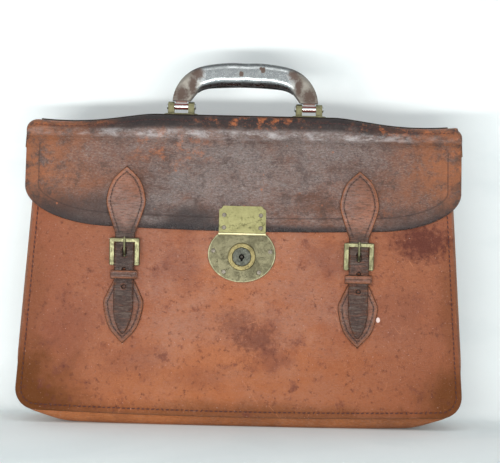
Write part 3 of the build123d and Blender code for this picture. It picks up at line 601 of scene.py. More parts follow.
def panel_finish():
    """The tan panel, with stained corners and scuffs below the flap."""
    f, colour, rough, skin = leather("panel_leather", TAN, TAN_DARK, TAN_PALE, sheen=0.2)
    corners = [(-0.208, 0.02, 0.09, 0.09, 0.95), (0.205, 0.02, 0.06, 0.07, 0.85)]
    corners += [(-0.2, 0.12, 0.028, 0.1, 0.3), (0.205, 0.12, 0.028, 0.1, 0.4)]
    corners += [(0.0, 0.006, 0.34, 0.026, 0.65)]
    colour = f.mix((1.0 - f.axis("Z").step(0.02, 0.1)) * 0.4, colour, paint(164, 96, 50))
    # Painted shade: the panel darkens towards its left and right sides.
    colour = f.mix(f.axis("X").size().step(0.05, 0.19) * 0.5, colour, paint(124, 72, 52))
    colour = stained(f, colour, corners, paint(92, 50, 14))
    scuffs = [(0.165, 0.178, 0.045, 0.03, 0.51), (0.08, 0.16, 0.035, 0.03, 0.36)]
    scuffs += [(-0.055, 0.15, 0.03, 0.05, 0.3), (0.01, 0.09, 0.05, 0.03, 0.3)]
    scuffs += [(0.03, 0.065, 0.035, 0.022, 0.42), (-0.1, 0.06, 0.05, 0.03, 0.24)]
    scuffs += [(-0.16, 0.09, 0.04, 0.05, 0.24), (0.15, 0.11, 0.05, 0.04, 0.24)]
    scuffs += [(-0.04, 0.045, 0.05, 0.02, 0.24)]
    colour = stained(f, colour, scuffs, paint(100, 54, 46), 70.0, 1.9)
    grazes = [(0.172, 0.178, 0.04, 0.026, 0.8), (0.015, 0.082, 0.035, 0.02, 0.5)]
    grazes += [(-0.005, 0.1, 0.03, 0.02, 0.3)]
    colour = stained(f, colour, grazes, paint(84, 42, 34), 190.0, 2.6)
    smudge = f.noise(150.0, 5.0, 0.75, distort=0.8).step(0.6, 0.7) * f.noise(14.0, 2.0).step(0.5, 0.62)
    colour = f.mix(smudge * 0.25, colour, paint(98, 48, 38))
    lines = f.cells(60.0, "DISTANCE_TO_EDGE", f.stretched((1.0, 1.0, 0.35), (0.0, 0.9, 0.0)))
    scratch = (1.0 - lines.step(0.0, 0.01)) * f.noise(34.0, 2.0).step(0.6, 0.66)
    colour = f.mix(scratch * 0.4, colour, paint(206, 140, 104))
    front = 1.0 - f.axis("Y").step(-0.01, 0.0)
    fleck = (f.blob(0.1305, 0.1035, 0.0024, 0.0034) + (f.noise(700.0) - 0.5)).step(0.15, 0.35)
    colour = f.mix(fleck * front, colour, paint(225, 205, 200))
    # Painted shade: a near-black spot on the front panel behind the keyhole, so that the keyhole looks dark.
    keyhole_shade = f.blob(0.0, 0.163, 0.02, 0.02).step(0.2, 0.4)
    colour = f.mix(keyhole_shade * front, colour, paint(16, 12, 12))
    skin = f.bump(off_line(f, 0.0055, 0.0, 0.0012), 0.00035, 1.0, skin)
    rough = (rough + scratch * 0.2).clip()
    return f.surface(Base_Color=colour, Roughness=rough, Normal=skin, Specular_IOR_Level=0.16)


panel_hide = panel_finish()
print("panel leather ready")

# %% Flap leather
BROWN, BROWN_DARK, BROWN_PALE = paint(112, 68, 46), paint(60, 40, 34), paint(146, 86, 54)


def flap_finish():
    """The flap: dark brown, blackened along its edges, rubbed to orange on its high places."""
    looks = {"gloss": 0.34, "rim": paint(34, 25, 25), "rim_wide": 0.0085, "sheen": 0.5}
    looks.update(creased=1.2, glinting=0.42)
    f, colour, rough, skin = leather("flap_leather", BROWN, BROWN_DARK, BROWN_PALE, **looks)
    off_middle = f.axis("X").size()
    black = [(-0.2, 0.2, 0.06, 0.04, 1.0), (0.2, 0.2, 0.035, 0.035, 0.8)]
    black += [(0.0, 0.183, 0.26, 0.012, 0.95), (-0.1, 0.292, 0.1, 0.012, 0.9)]
    black += [(0.08, 0.294, 0.06, 0.01, 0.7), (-0.2, 0.255, 0.02, 0.04, 0.4)]
    black += [(-0.14, 0.2, 0.09, 0.03, 0.7), (0.17, 0.2, 0.06, 0.02, 0.5)]
    black += [(-0.048, 0.192, 0.05, 0.024, 0.85)]
    colour = stained(f, colour, black, paint(34, 27, 28))
    # The band over the top, above the ridge, is darkened: partly blackened leather, partly painted shade.
    ridge_top = (1.0 - f.attribute("edge").step(0.0105, 0.0165)) * f.axis("Z").step(0.272, 0.276)
    ridge_top = ridge_top * (1.0 - off_middle.step(0.14, 0.185))
    ridge_dark = ridge_top * (f.noise(70.0, 5.0, 0.7).step(0.3, 0.55) * 0.35 + 0.55)
    colour = f.mix(ridge_dark, colour, paint(30, 24, 25))
    ends = off_middle.step(0.11, 0.2) * f.axis("Z").step(0.19, 0.24)
    colour = f.mix(ends * (f.noise(60.0, 7.0, 0.8).step(0.4, 0.56) * 0.8), colour, paint(146, 86, 48))
    mottles = f.noise(75.0, 7.0, 0.8).step(0.5, 0.64)
    colour = f.mix(mottles * 0.6, colour, paint(58, 38, 32))
    worn = f.noise(95.0, 7.0, 0.78).step(0.5, 0.62)
    rubbed = [(-0.203, 0.284, 0.022, 0.016, 0.6), (0.2, 0.285, 0.04, 0.016, 0.8)]
    rubbed += [(0.01, 0.289, 0.09, 0.01, 0.9), (0.15, 0.286, 0.07, 0.014, 0.75)]
    rubbed += [(-0.16, 0.286, 0.05, 0.008, 0.6), (0.2, 0.25, 0.03, 0.05, 0.5)]
    rubbed += [(-0.07, 0.262, 0.07, 0.03, 0.6), (-0.19, 0.235, 0.02, 0.04, 0.4)]
    rubbed += [(0.12, 0.215, 0.05, 0.03, 0.4)]
    for x, z, wide, tall, strength in rubbed:
        spot = f.blob(x, z, wide, tall).step(0.05, 0.8)
        colour = f.mix(spot * worn * strength, colour, paint(172, 100, 58))
    flecks = (f.cells(80.0) + (f.noise(500.0) - 0.5) * 0.12).step(0.06, 0.12)
    some = f.noise(31.0, 2.0).step(0.5, 0.58)
    colour = f.mix((1.0 - flecks) * some * 0.8, colour, paint(158, 94, 60))
    # Painted highlight: a broken pale band along the ridge, stronger in the middle.
    gloss_band = 1.0 - (f.axis("Z") - 0.2765).size().step(0.001, 0.006)
    ridge_highlight_noise = f.noise(120.0, 6.0, 0.75, vector=f.stretched((0.5, 1.0, 1.2))).step(0.42, 0.66)
    middle = 1.0 - off_middle.step(0.1, 0.2)
    colour = f.mix(ridge_highlight_noise * gloss_band * (middle * 0.5 + 0.2), colour, paint(186, 182, 182))
    crease = (1.0 - off_line(f, 0.013, 0.0002, 0.001)) * (1.0 - f.axis("Z").step(0.262, 0.268))
    colour = f.mix(crease * 0.5, colour, paint(44, 28, 26))
    skin = f.bump(1.0 - crease, 0.0003, 1.0, skin)
    rough = (rough + ridge_top * 0.4).clip()
    return f.surface(Base_Color=colour, Roughness=rough, Normal=skin, Specular_IOR_Level=0.42)


flap_hide = flap_finish()
print("flap leather ready")


# %% Plain leather
def plain_finish(name, *colours, **looks):
    """Leather with nothing but its own wear."""
    f, colour, rough, skin = leather(name, *colours, **looks)
    return f.surface(Base_Color=colour, Roughness=rough, Normal=skin, Specular_IOR_Level=0.2)


gusset_hide = plain_finish("gusset_leather", paint(164, 100, 58), paint(112, 66, 38), paint(190, 128, 84))
facings = paint(96, 56, 42), paint(58, 34, 30), paint(150, 88, 58)
facing_hide = plain_finish("facing_leather", *facings, rim=paint(34, 24, 22))
print("gusset and facing leather ready")


# %% Thread and old metal
def simple(name, colour, rough):
    """An even finish with a little noise in its colour."""
    f = Finish(name)
    tint = f.noise(600.0, 3.0).step(0.3, 0.7)
    mixed = f.mix(tint * 0.5, colour, tuple(c * 0.6 for c in colour))
    return f.surface(Base_Color=mixed, Roughness=rough)


def metal(name, tones, rough=0.34, wear=0.5, scale=160.0, spotted=0.4, lip=None, oval=None):
    """Old metal: tarnish, pits and fine scratches; a `lip` gets a painted highlight and the rim of an `oval`
    is lighter.
    """
    bright, dull, shadow = (paint(*tone) for tone in tones)
    f = Finish(name)
    cloud = f.noise(scale, 6.0, 0.66, distort=0.6).step(0.42, 0.62)
    colour = f.mix(cloud * wear, bright, dull)
    spots = f.noise(scale * 5.0, 4.0, 0.7).step(0.56, 0.66)
    colour = f.mix(spots * spotted, colour, shadow)
    # Painted highlight: a pale band along the lip.
    if lip:
        low, high = lip
        bright_band = f.axis("Z").step(low, low + 0.0003) - f.axis("Z").step(high, high + 0.0004)
        colour = f.mix(bright_band, colour, paint(214, 204, 164))
    if oval:
        reach = f.reach(*oval)
        bright_band = reach.step(0.955, 0.975) - reach.step(0.985, 0.995)
        colour = f.mix(bright_band * 0.35, colour, paint(182, 180, 146))
    hairs = f.noise(300.0, 3.0, 0.6, vector=f.stretched((1.0, 1.0, 7.0), (0.3, 0.5, 0.2)))
    pits = f.bump(f.noise(scale * 6.0, 4.0, 0.7) + spots * -0.5, 0.00016, 0.8)
    shine = (rough + cloud * 0.2 + hairs.step(0.4, 0.7) * 0.1 + spots * 0.2).clip()
    skin = f.bump(hairs, 0.00005, 0.6, pits)
    return f.surface(Base_Color=colour, Metallic=1.0, Roughness=shine, Normal=skin)


print("metal can be mixed")


# %% The grip and its lugs
def grip_finish():
    """The grip: polished steel worn through to brown paint at its shoulders and feet."""
    f = Finish("grip_steel")
    cloud = f.noise(120.0, 7.0, 0.8).step(0.4, 0.66)
    colour = f.mix(cloud * 0.5, paint(156, 162, 164), paint(118, 122, 122))
    specks = f.noise(900.0, 4.0, 0.8).step(0.58, 0.68)
    colour = f.mix(specks * 0.5, colour, paint(92, 84, 78))
    ragged = (f.noise(300.0, 6.0, 0.78) - 0.5) * 2.6
    off_middle = f.axis("X").size()
    # Worn places on both legs, as x, z, half width and half height; then small chips on top.
    legs = [(0.047, 0.338, 0.0085, 0.009), (0.0625, 0.318, 0.0115, 0.0105)]
    legs += [(0.0515, 0.327, 0.0055, 0.014)]
    chips = [(-0.0045, 0.3385, 0.0026), (0.0165, 0.3425, 0.0028), (0.0145, 0.344, 0.0018)]
    spots = [(1.0 - f.reach(*leg, off_middle) + ragged * 0.7).step(0.0, 0.7) for leg in legs]
    for x, z, wide in chips:
        spots.append((1.0 - f.reach(x, z, wide, wide * 1.3) + ragged * 0.5).step(0.1, 0.25))
    worn = spots[0]
    for spot in spots[1:]:
        worn = worn.math("MAXIMUM", spot)
    olive = (off_middle + ragged * 0.006).step(0.04, 0.052) * 0.8
    colour = f.mix(olive, colour, paint(122, 114, 102))
    colour = f.mix(worn, colour, paint(82, 66, 58))
    # Painted shade: patches of dark on the faces of the grip that look up.
    normal = f.node("ShaderNodeTexCoord", output="Normal")
    upward = f.node("ShaderNodeSeparateXYZ", None, [normal], "Z")
    rim = upward.step(0.5, 0.8) * f.noise(260.0, 3.0).step(0.3, 0.44)
    colour = f.mix(rim * 0.85, colour, paint(40, 34, 38))
    rough = (0.22 + cloud * 0.14 + worn * 0.3 + specks * 0.2 + olive * 0.3).clip()
    skin = f.bump(specks * -0.6 + cloud * 0.3 - worn, 0.00018, 0.8)
    metallic = (1.0 - worn * 0.9 - olive * 0.6).clip()
    return f.surface(Base_Color=colour, Metallic=metallic, Roughness=rough, Normal=skin)


def lug_finish():
    """The barrels under the grip: two bands of dark red with bright steel between them, a painted highlight
    along their middle.
    """
    f = Finish("lug_steel")
    from_pin = f.axis("Z") - 0.3064
    # Painted highlight: the bright steel along the middle of each barrel, between the red bands.
    bands = 1.0 - (from_pin.size() - 0.0019).size().step(0.0008, 0.0011)
    colour = f.mix(bands, paint(196, 200, 200), paint(104, 44, 38))
    high = from_pin.step(0.0034, 0.0038)
    colour = f.mix(high, colour, paint(112, 84, 76))
    metallic = (1.0 - bands * 0.9 - high * 0.8).clip()
    rough = (0.24 + bands * 0.3 + high * 0.3).clip()
    return f.surface(Base_Color=colour, Metallic=metallic, Roughness=rough)


grip_steel, lug_steel = grip_finish(), lug_finish()
print("grip and lugs ready")

# %% Finishes on the solids
thread = simple("thread_dark", paint(66, 24, 24), 0.6)
thread_pale = simple("thread_brown", paint(44, 26, 24), 0.6)
suede = simple("suede", paint(150, 110, 80), 0.9)
brass = metal("brass", [(122, 120, 92), (96, 92, 70), (56, 50, 38)])
steel = metal("steel", [(168, 172, 174), (136, 136, 136), (78, 66, 60)], 0.2)
rivet_metal = metal("rivet_metal", [(112, 107, 98), (88, 82, 74), (60, 54, 48)], 0.3)
collar_brass = metal("collar_brass", [(112, 104, 72), (92, 84, 58), (66, 58, 40)], 0.28, 0.4)
post_steel = metal("post_steel", [(84, 80, 74), (60, 56, 52), (30, 28, 26)], 0.5)
disc_steel = metal("disc_steel", [(86, 88, 80), (70, 71, 64), (50, 49, 44)], 0.45, 0.6, 400.0)
plate_tones, plate_oval = [(98, 95, 75), (88, 85, 67), (64, 61, 47)], (0.0, 0.1631, 0.03225, 0.027)
plate_brass = metal("lock_brass", plate_tones, 0.38, 0.5, 110.0, 0.25, oval=plate_oval)
hasp_low = min(corner[2] for corner in nodes["hasp"].bound_box)
hasp_tones, hasp_lip = [(124, 122, 86), (113, 110, 77), (84, 78, 56)], (hasp_low, hasp_low + 0.0016)
hasp_brass = metal("hasp_brass", hasp_tones, 0.36, 0.4, 60.0, 0.25, hasp_lip)
brasses = "buckle_left buckle_right prong_left prong_right bracket_left bracket_right bracket_rivets"
for solids, finish_material in (
    (brasses, brass),
    ("lock_case lock_bolt handle_pins", steel),
    ("lock_rivets hasp_rivets", rivet_metal),
    ("lock_plate", plate_brass),
    ("lock_collar", collar_brass),
    ("lock_plug", disc_steel),
    ("lock_post", post_steel),
    ("hasp", hasp_brass),
    ("handle_lugs", lug_steel),
    ("handle_grip", grip_steel),
    ("handle_seam", strap_hide),
    ("stiffener", suede),
):
    for key in solids.split():
        nodes[key].data.materials.clear()
        nodes[key].data.materials.append(finish_material)
print(len(bpy.data.materials), "finishes")

# %% [markdown]
# ## Panels and gusset
# The panels lie on the leaning front and back. Their lower edge sags a little between rounded
# corners. The gusset is one long strip: sewn behind the front panel's edge, it rolls out past it,
# runs round the case and comes back to the other panel.


# %% Panels
PANEL_THICK, PANEL_LOW, PANEL_HALF, PANEL_CORNER = 3.0, 9, 212, 20
SEAM_IN = 5.5  # from a panel's cut edge to its stitches


def narrowing(high):
    """Half the width of a panel at a height."""
    return 197 + 15 / 257 * (266 - high)


def case_outline(half_bottom, half_top, low, high, corner, step=3.0):
    """The case's outline from the front, anticlockwise: sagging lower edge, drawn-in sides."""
    xs = np.linspace(-half_bottom, half_bottom, 25)
    bottom = [(x, low + 4.0 * (x / half_bottom) ** 2) for x in xs]
    ends, flat = (bottom[0], bottom[-1]), half_bottom - corner - 4
    kept = [p for p in bottom if abs(p[0]) < flat or p in ends] + [(half_top, high), (-half_top, high)]
    radii = [corner if abs(p[0]) == half_bottom else 0.5 for p in kept]
    return rounded(kept, radii, step)


def panel_outline(high, step=3.0):
    """A panel's outline up to a height."""
    return case_outline(PANEL_HALF, narrowing(high), PANEL_LOW, high, PANEL_CORNER, step)


def puff(x, up, edge):
    """How far the filled case swells the leather, kept flat under the lock and the chapes."""
    swell = 1.7 * smooth(edge, 6, 70) * (1 - smooth(up, 95, 175))
    near_chape = smooth(np.abs(np.abs(x) - STRAP_AT), 17, 45)
    near_lock = smooth(np.hypot(x, up - LOCK_UP), 30, 70)
    flat = np.where(up > 60, near_chape, 1)
    wave = 0.25 * np.sin(x / 23.0 + up / 31.0) * smooth(edge, 8, 30)
    return swell * flat * near_lock + wave * near_chape * near_lock * (1 - smooth(up, 165, 184))


def seam_dip(x, up, edge):
    """The sewing pulls the leather down into a shallow channel."""
    return puff(x, up, edge) - 0.35 * np.exp(-(((edge - SEAM_IN) / 1.3) ** 2))


def back_swell(x, up, edge):
    """The back panel swells a little, below the strip that is sewn on it."""
    return 1.2 * smooth(edge, 8, 70) * (1 - smooth(up, 150, 215))


for node, high, grid, lift, place in (
    ("front_panel", 266, 5.0, seam_dip, on_front),
    ("back_panel", 279, 6.0, back_swell, on_back),
):
    rows, skins = (2.6, 4.2, SEAM_IN, 6.8, 9.0), [panel_hide, suede]
    outline = panel_outline(high)
    piece = sheet(f"{node}_leather", outline, PANEL_THICK, skins, rows, grid, lift, place, -PANEL_THICK)
    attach(piece, "case")
    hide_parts(node)
    print(node, "has", len(piece.data.polygons), "faces")


# %% Closed leather from a grid
def shell(name, middle, thick, edge, materials, relief=0.0):
    """A closed leather from a grid of points in metres; its rim thins where `edge` (mm) is 0."""
    down, across = np.gradient(middle, axis=0), np.gradient(middle, axis=1)
    normal = np.cross(across, down)
    normal /= np.maximum(np.linalg.norm(normal, axis=-1, keepdims=True), 1e-12)
    half = thick / 2 * MM * rim_round(edge, thick)[..., None]
    raised = np.asarray(relief)[..., None] * MM
    outer, inner = middle + normal * (raised + half), middle + normal * (raised - half)
    rows, cols = middle.shape[:2]
    count = rows * cols
    index = np.arange(count).reshape(rows, cols)
    quads = np.stack([index[:-1, :-1], index[:-1, 1:], index[1:, 1:], index[1:, :-1]], -1).reshape(-1, 4)
    ring = np.concatenate([index[0, :-1], index[:-1, -1], index[-1, :0:-1], index[:0:-1, 0]])
    after = np.roll(ring, -1)
    walls = np.stack([after, ring, ring + count, after + count], -1)
    faces = np.concatenate([quads, quads[:, ::-1] + count, walls])
    slots = np.repeat([0, 1, 0] if len(materials) > 1 else [0, 0, 0], [len(quads), len(quads), len(walls)])
    stored = {"edge": np.tile(np.asarray(edge).ravel(), 2) * MM, "hole": np.full(2 * count, 0.1)}
    points = np.concatenate([outer.reshape(-1, 3), inner.reshape(-1, 3)])
    made = new_mesh(name, points, faces, materials, stored, slots)
    close_up(made.data)
    return made


def close_up(mesh):
    """Joins points that meet at thin rims, and takes out faces left inside or missing there."""
    work = bmesh.new()
    work.from_mesh(mesh)
    bmesh.ops.remove_doubles(work, verts=work.verts, dist=2e-6)
    bmesh.ops.dissolve_degenerate(work, edges=work.edges, dist=1e-6)
    spare = []
    for face in work.faces:
        shared = [len(edge.link_faces) for edge in face.edges]
        if (min(shared) < 2 < max(shared)) or (len(shared) == 3 and sum(n > 2 for n in shared) > 1):
            spare.append(face)
    bmesh.ops.delete(work, geom=spare, context="FACES")
    open_edges = [edge for edge in work.edges if len(edge.link_faces) < 2]
    bmesh.ops.holes_fill(work, edges=open_edges, sides=0)
    work.to_mesh(mesh)
    work.free()


print("grids can be closed into leather")


# %% Gusset
def run_along(line):
    """How far each point of a line is from its start, along it."""
    return np.concatenate([[0], np.cumsum(np.linalg.norm(np.diff(line, axis=0), axis=1))])


def open_path(half_bottom, half_top, low, high, corner):
    """The sides and lower edge of a case outline as an open line, from the top left to the right."""
    line = case_outline(half_bottom, half_top, low, high, corner, 1.5)
    for way in (1, -1):
        top = int(np.argmin(np.hypot(line[:, 0] + way * half_top, line[:, 1] - high)))
        line = np.roll(line, -top, axis=0) if way == 1 else line[: top + 1]
    left = int((line[:, 0] < -half_bottom + corner + 6).sum())
    right = len(line) - int((line[:, 0] > half_bottom - corner - 6).sum())
    made = []
    for leg, count in ((line[:left], 78), (line[left - 1 : right + 1], 104), (line[right:], 78)):
        run = run_along(leg)
        at = np.linspace(0, run[-1], count)
        made.append(np.stack([np.interp(at, run, leg[:, k]) for k in (0, 1)], -1)[:-1])
    return np.concatenate([*made, line[-1:]])


GUSSET_HIGH, GUSSET_THICK, BELLY_PROUD = 260, 2.0, 1.5
# Each point of the section: how far in along the panel, how far over to the belly, how far out.
SECTION = [(-11, 0.0, -4.0), (-7, 0.0, -4.0), (-3.5, 0.0, -4.0), (-1, 0.0, -4.1), (0, 0.14, -4.6)]
SECTION += [(0, 0.34, -5.2), (0, 0.56, -6.2), (0, 0.76, -8.0), (0, 0.9, -10.4), (0, 0.98, -13.4)]
SECTION += [(0, 1.0, -17.0)]


def gusset_grid():
    """Points over the gusset's outside: front flange, rolled belly, web, belly and back flange."""
    half_top = narrowing(GUSSET_HIGH)
    edge_line = open_path(PANEL_HALF, half_top, PANEL_LOW, GUSSET_HIGH, PANEL_CORNER)
    web_line = open_path(PANEL_HALF + BELLY_PROUD, 198.5, 0.2, GUSSET_HIGH, 55)
    normal = np.gradient(edge_line, axis=0)
    normal = np.stack([normal[:, 1], -normal[:, 0]], -1)
    normal /= np.linalg.norm(normal, axis=1, keepdims=True)
    lines = [edge_line + normal * flange + (web_line - edge_line) * share for flange, share, _ in SECTION]
    front, back = (
        [place(line[:, 0], line[:, 1], out) for line, (_, _, out) in zip(lines, SECTION)]
        for place in (on_front, on_back)
    )
    fold = []
    for weight in (0.2, 0.4, 0.5, 0.6, 0.8):
        between = front[-1] * (1 - weight) + back[-1] * weight
        fold.append(between * (1 - 0.0125 * math.sin(math.pi * weight), 1, 1))
    grid = np.stack(front + fold + back[::-1], 0)
    grid[..., 2] = np.maximum(grid[..., 2], 0.001)
    return grid


belly = gusset_grid()
belly_edge = np.zeros(belly.shape[:2])
belly_edge[1:-1, 1:-1] = 30.0
gusset = shell("gusset_leather_band", belly[:, ::-1], GUSSET_THICK, belly_edge, [gusset_hide, suede])
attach(gusset, "case")
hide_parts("gusset")
print("gusset", len(gusset.data.polygons), "faces")

# %% [markdown]
# ## The flap
# In life this is one leather, from the strip sewn on the back over the top and down the front. It
# is meshed in two pieces that meet across the middle of the top, each running over one of the two
# creases. Each column of points climbs the front, swells over the padded ridge, turns over the edge
# and runs back along the top.


# %% The crown's line and the flap's lower edge
FLAP_HALF, FLAP_THICK = 208.0, 2.6


def crown(x):
    """Top of the flap's leather at x, in millimetres."""
    corners = [(-207.9, 262), (-208, 289.9), (-165, 284.9), (-92, 295.4), (92, 295.4), (165, 284.9)]
    corners += [(208, 289.9), (207.9, 262)]
    return polyline_at(x, corners, [9.5, 300, 120, 120, 300, 9.5])


def hem(x):
    """Lower edge of the flap, measured up the leather: nearly level, with a round corner."""
    level_half, level_low, rise, corner_wide, corner_tall = 123.0, 184.6, 2.4, 85.0, 38.0
    level = level_low + rise * (np.clip(np.abs(x), 0, level_half) / level_half) ** 2
    share = np.clip((np.abs(x) - level_half) / corner_wide, 0, 1)
    corner = level_low + rise + corner_tall * (1 - np.sqrt(1 - share**2))
    return np.where(np.abs(x) <= level_half, level, corner)


def ridge(x, up):
    """How far the padded ridge stands out above the crease, with the stitches pulling it in."""
    top = crown(x)
    share = np.clip((up - 271.0) / np.maximum(top - 276.0, 4.0), 0, 1)
    height = np.minimum(3.4, 0.17 * (top - 269.0))
    swell = height * np.sin(math.pi * share**0.8) ** 0.75
    sewn_in = 0.5 * np.exp(-(((up - top + 5.2) / 1.2) ** 2))
    crease = 1.1 * np.exp(-(((up - 270.4) / 1.8) ** 2))
    ends = 1 - 0.7 * smooth(np.abs(x), 190, 207)
    ripple = 0.22 * np.sin(x / 9.0 + 2.0 * np.sin(x / 41.0)) * share * (1 - share) * 4
    return swell * ends - sewn_in - crease + ripple * ends


columns = 200 + 8 * np.sin(np.linspace(0.12, 1, 13) * math.pi / 2)
columns = np.concatenate([np.linspace(-200, 200, 161), columns, -columns])
columns = np.unique(columns.round(4))
from_side = FLAP_HALF - np.abs(columns)
print(len(columns), "columns over the flap")


# %% Front of the flap
FOOT_HIGH, HEM_CREASE, BODY_HIGH = 3.4, 271.6, 262.0


def over_edge(start, bend, turns, way=1):
    """Rows of points that bend from upright, at a turn of 0, to level."""
    rows = []
    for turn in turns:
        y = start[:, 1] + way * bend * MM * (1 - math.cos(turn))
        rows.append(np.stack([start[:, 0], y, start[:, 2] + bend * MM * math.sin(turn)], -1))
    return rows


def flap_front_grid():
    """Mid-surface points, distances from the cut edge and relief, rows from the hem to the top."""
    low, top = hem(columns), crown(columns) - FLAP_THICK / 2
    bend = np.minimum(4.0, (top - 268) * 0.4)
    foot = low + FOOT_HIGH
    heights = [low + k for k in (0.0, 0.3, 0.9, 1.9, FOOT_HIGH)]
    heights += [foot + (BODY_HIGH - foot) * k for k in np.linspace(0, 1, 22)[1:]]
    heights += [np.full(len(columns), k) for k in (265.0, 267.5, 269.2, 270.4, HEM_CREASE)]
    heights += [HEM_CREASE + (top - bend - HEM_CREASE) * k for k in np.linspace(0, 1, 17)[1:]]
    rows = [on_front(columns, np.minimum(up, top - bend), 1.7) for up in heights]
    rows += over_edge(rows[-1], bend, np.linspace(0, math.pi / 2, 7)[1:])
    last = rows[-1]
    for share in (0.15, 0.4, 0.7, 1.0):
        y = last[:, 1] * (1 - share) - 0.0004 * share
        rows.append(np.stack([last[:, 0], y, last[:, 2]], -1))
    ups = np.stack(heights, 0)
    crowned = np.stack([columns, crown(columns)], -1)
    outline = np.concatenate([np.stack([columns, low], -1), crowned[::-1]])
    flat = np.stack([np.broadcast_to(columns, ups.shape), np.minimum(ups, crown(columns))], -1)
    near = edge_distance(flat.reshape(-1, 2), outline).reshape(ups.shape)
    near[0] = 0
    relief = ridge(columns[None, :], ups)
    extra = len(rows) - len(heights)
    fade = relief[-1] * np.linspace(1, 0, extra)[:, None] * 0.6
    over = np.minimum(np.minimum(from_side, 30), (np.arange(extra) * 1.5 + 2.0)[:, None])
    near = np.concatenate([near, over])
    near[:, 0], near[:, -1] = 0, 0
    return np.stack(rows, 0), near, np.concatenate([relief, fade])


grid, near, relief = flap_front_grid()
flap_front = shell("flap_front_leather", grid, FLAP_THICK, near, [flap_hide, suede], relief)
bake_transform(flap_front)
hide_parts("flap_front", "flap_top")
print("flap front", len(flap_front.data.polygons), "faces")


# %% Back of the flap
STRIP_HALF, STRIP_LOW, REAR_BEND = 196, 246.1, 7.0


def flap_back_grid():
    """The same leather from the middle of the top, over the rear edge and down its sewn strip."""
    top, xs = crown(columns) - FLAP_THICK / 2, columns * MM
    rows = [np.stack([xs, np.full(len(xs), y * MM), top * MM], -1) for y in (-0.4, 6.0, 12.0, 16.0)]
    bent_at = (top - REAR_BEND) / COS
    start = on_back(columns, bent_at, FLAP_THICK / 2)
    rows += over_edge(start, REAR_BEND, np.linspace(math.pi / 2, 0, 8), -1)
    near = [np.minimum(from_side, 25.0)] * len(rows)
    for up in (284, 281, 279, 276, 272, 267, 261, 255, 250, 248.2, 247.2, 246.5, STRIP_LOW):
        half = STRIP_HALF + (FLAP_HALF - STRIP_HALF) * smooth(np.float64(up), 277, 286)
        across = columns / FLAP_HALF * half
        rows.append(on_back(across, np.minimum(up, bent_at), FLAP_THICK / 2))
        near.append(np.minimum(near[0], up - STRIP_LOW))
    return np.stack(rows, 0), np.stack(near, 0)


grid, near = flap_back_grid()
flap_back = shell("flap_back_leather", grid, FLAP_THICK, near, [flap_hide, suede])
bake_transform(flap_back)
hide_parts("flap_back_strip")
print("flap back", len(flap_back.data.polygons), "faces")


# %% The facing along the top
FACING_HALF, FACING_DEEP, FACING_THICK = 196, 17.5, 1.6


def facing_grid():
    """A second leather sewn along the top, under the handle's brackets."""
    xs = np.concatenate([[-196, -195.6, -194.8], np.linspace(-193, 193, 131), [194.8, 195.6, 196]])
    ys = np.array([-17.5, -17.2, -16.6, -15.2, -10, -3.5, 3.5, 10, 15.2, 16.6, 17.2, 17.5])[::-1, None]
    grid = np.stack(np.broadcast_arrays(xs, ys, crown(xs) + FACING_THICK / 2), -1) * MM
    return grid, np.minimum(FACING_HALF - np.abs(xs), FACING_DEEP - np.abs(ys))


grid, near = facing_grid()
facing = shell("top_facing_leather", grid, FACING_THICK, near, [facing_hide])
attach(facing, "lid_top")
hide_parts("top_facing")
print("facing", len(facing.data.polygons), "faces")

# %% [markdown]
# ## Straps, chapes and keepers
# Each strap is a spade-shaped leaf sewn on the flap that narrows into a tail with holes. Its
# partner, the chape, is a leaf sewn low on the panel and folded round the buckle's hinge bar. The
# tail lies over that fold and runs through a loop of leather, the keeper.


# %% Strap and chape outlines
STRAP_THICK, CHAPE_THICK, TAIL_HALF, LEAF_SEAM_IN = 2.0, 2.2, 9.4, 4.0

def through(points):
    """A smooth open curve through points."""
    points = np.array(points, float)
    padded = np.concatenate([[2 * points[0] - points[1]], points, [2 * points[-1] - points[-2]]])
    made = []
    for p0, p1, p2, p3 in zip(padded, padded[1:], padded[2:], padded[3:]):
        for t in np.arange(12) / 12:
            bend = (p2 - p0) * t + (2 * p0 - 5 * p1 + 4 * p2 - p3) * t * t
            made.append(p1 + 0.5 * bend + 0.5 * (3 * p1 - p0 - 3 * p2 + p3) * t**3)
    return np.array([*made, points[-1]])


def leaf_outline(tip, wide, half, neck, below):
    """A leaf from its tip to its neck, the points below that, and the same mirrored."""
    bulge = [(half * 0.7, tip + (wide - tip) * 0.42), (half, wide)]
    waist = [(half * 0.86, wide + (neck - wide) * 0.42), (TAIL_HALF, neck)]
    right = np.concatenate([through([(0, tip)] + bulge + waist), below])
    mirrored = right[::-1][right[::-1, 0] > 0] * (-1, 1)
    return np.concatenate([right, mirrored])


def strap_outline():
    """The strap's outline, anticlockwise, round x = 0."""
    tail = [(TAIL_HALF, 107.0), (7.4, 97.0), (4.2, 89.5), (1.6, 85.8), (0, 85.0)]
    return spaced(leaf_outline(245.0, 213.0, 18.8, 180.0, tail)[::-1], 1.6)


def chape_outline():
    """The sewn leaf of the chape, up to where it turns into the fold."""
    return spaced(leaf_outline(76.0, 112.5, 18.9, 137.0, [(TAIL_HALF, 146.0)]), 1.6)


def under_strap(up):
    """How far the strap's underside stands out of the panel at a height."""
    return np.interp(up, [80, 143.4, 146.6, 149.6, 153.6, 174.1, 250], [2.3, 2.3, 3.9, 5.26, 5.26, 3.1, 3.1])


def worn_hole(up, radius, tall):
    """The hole in use, drawn out into a slot by the prong."""
    ring = circle(0, 0, radius, 16)
    ring[:, 1] += np.sign(ring[:, 1].round(6)) * (tall / 2 - radius)
    return ring + (0, up)


def pinch(edge):
    """How a leaf's line of stitches draws the leather in."""
    return np.exp(-(((edge - LEAF_SEAM_IN) / 0.9) ** 2))


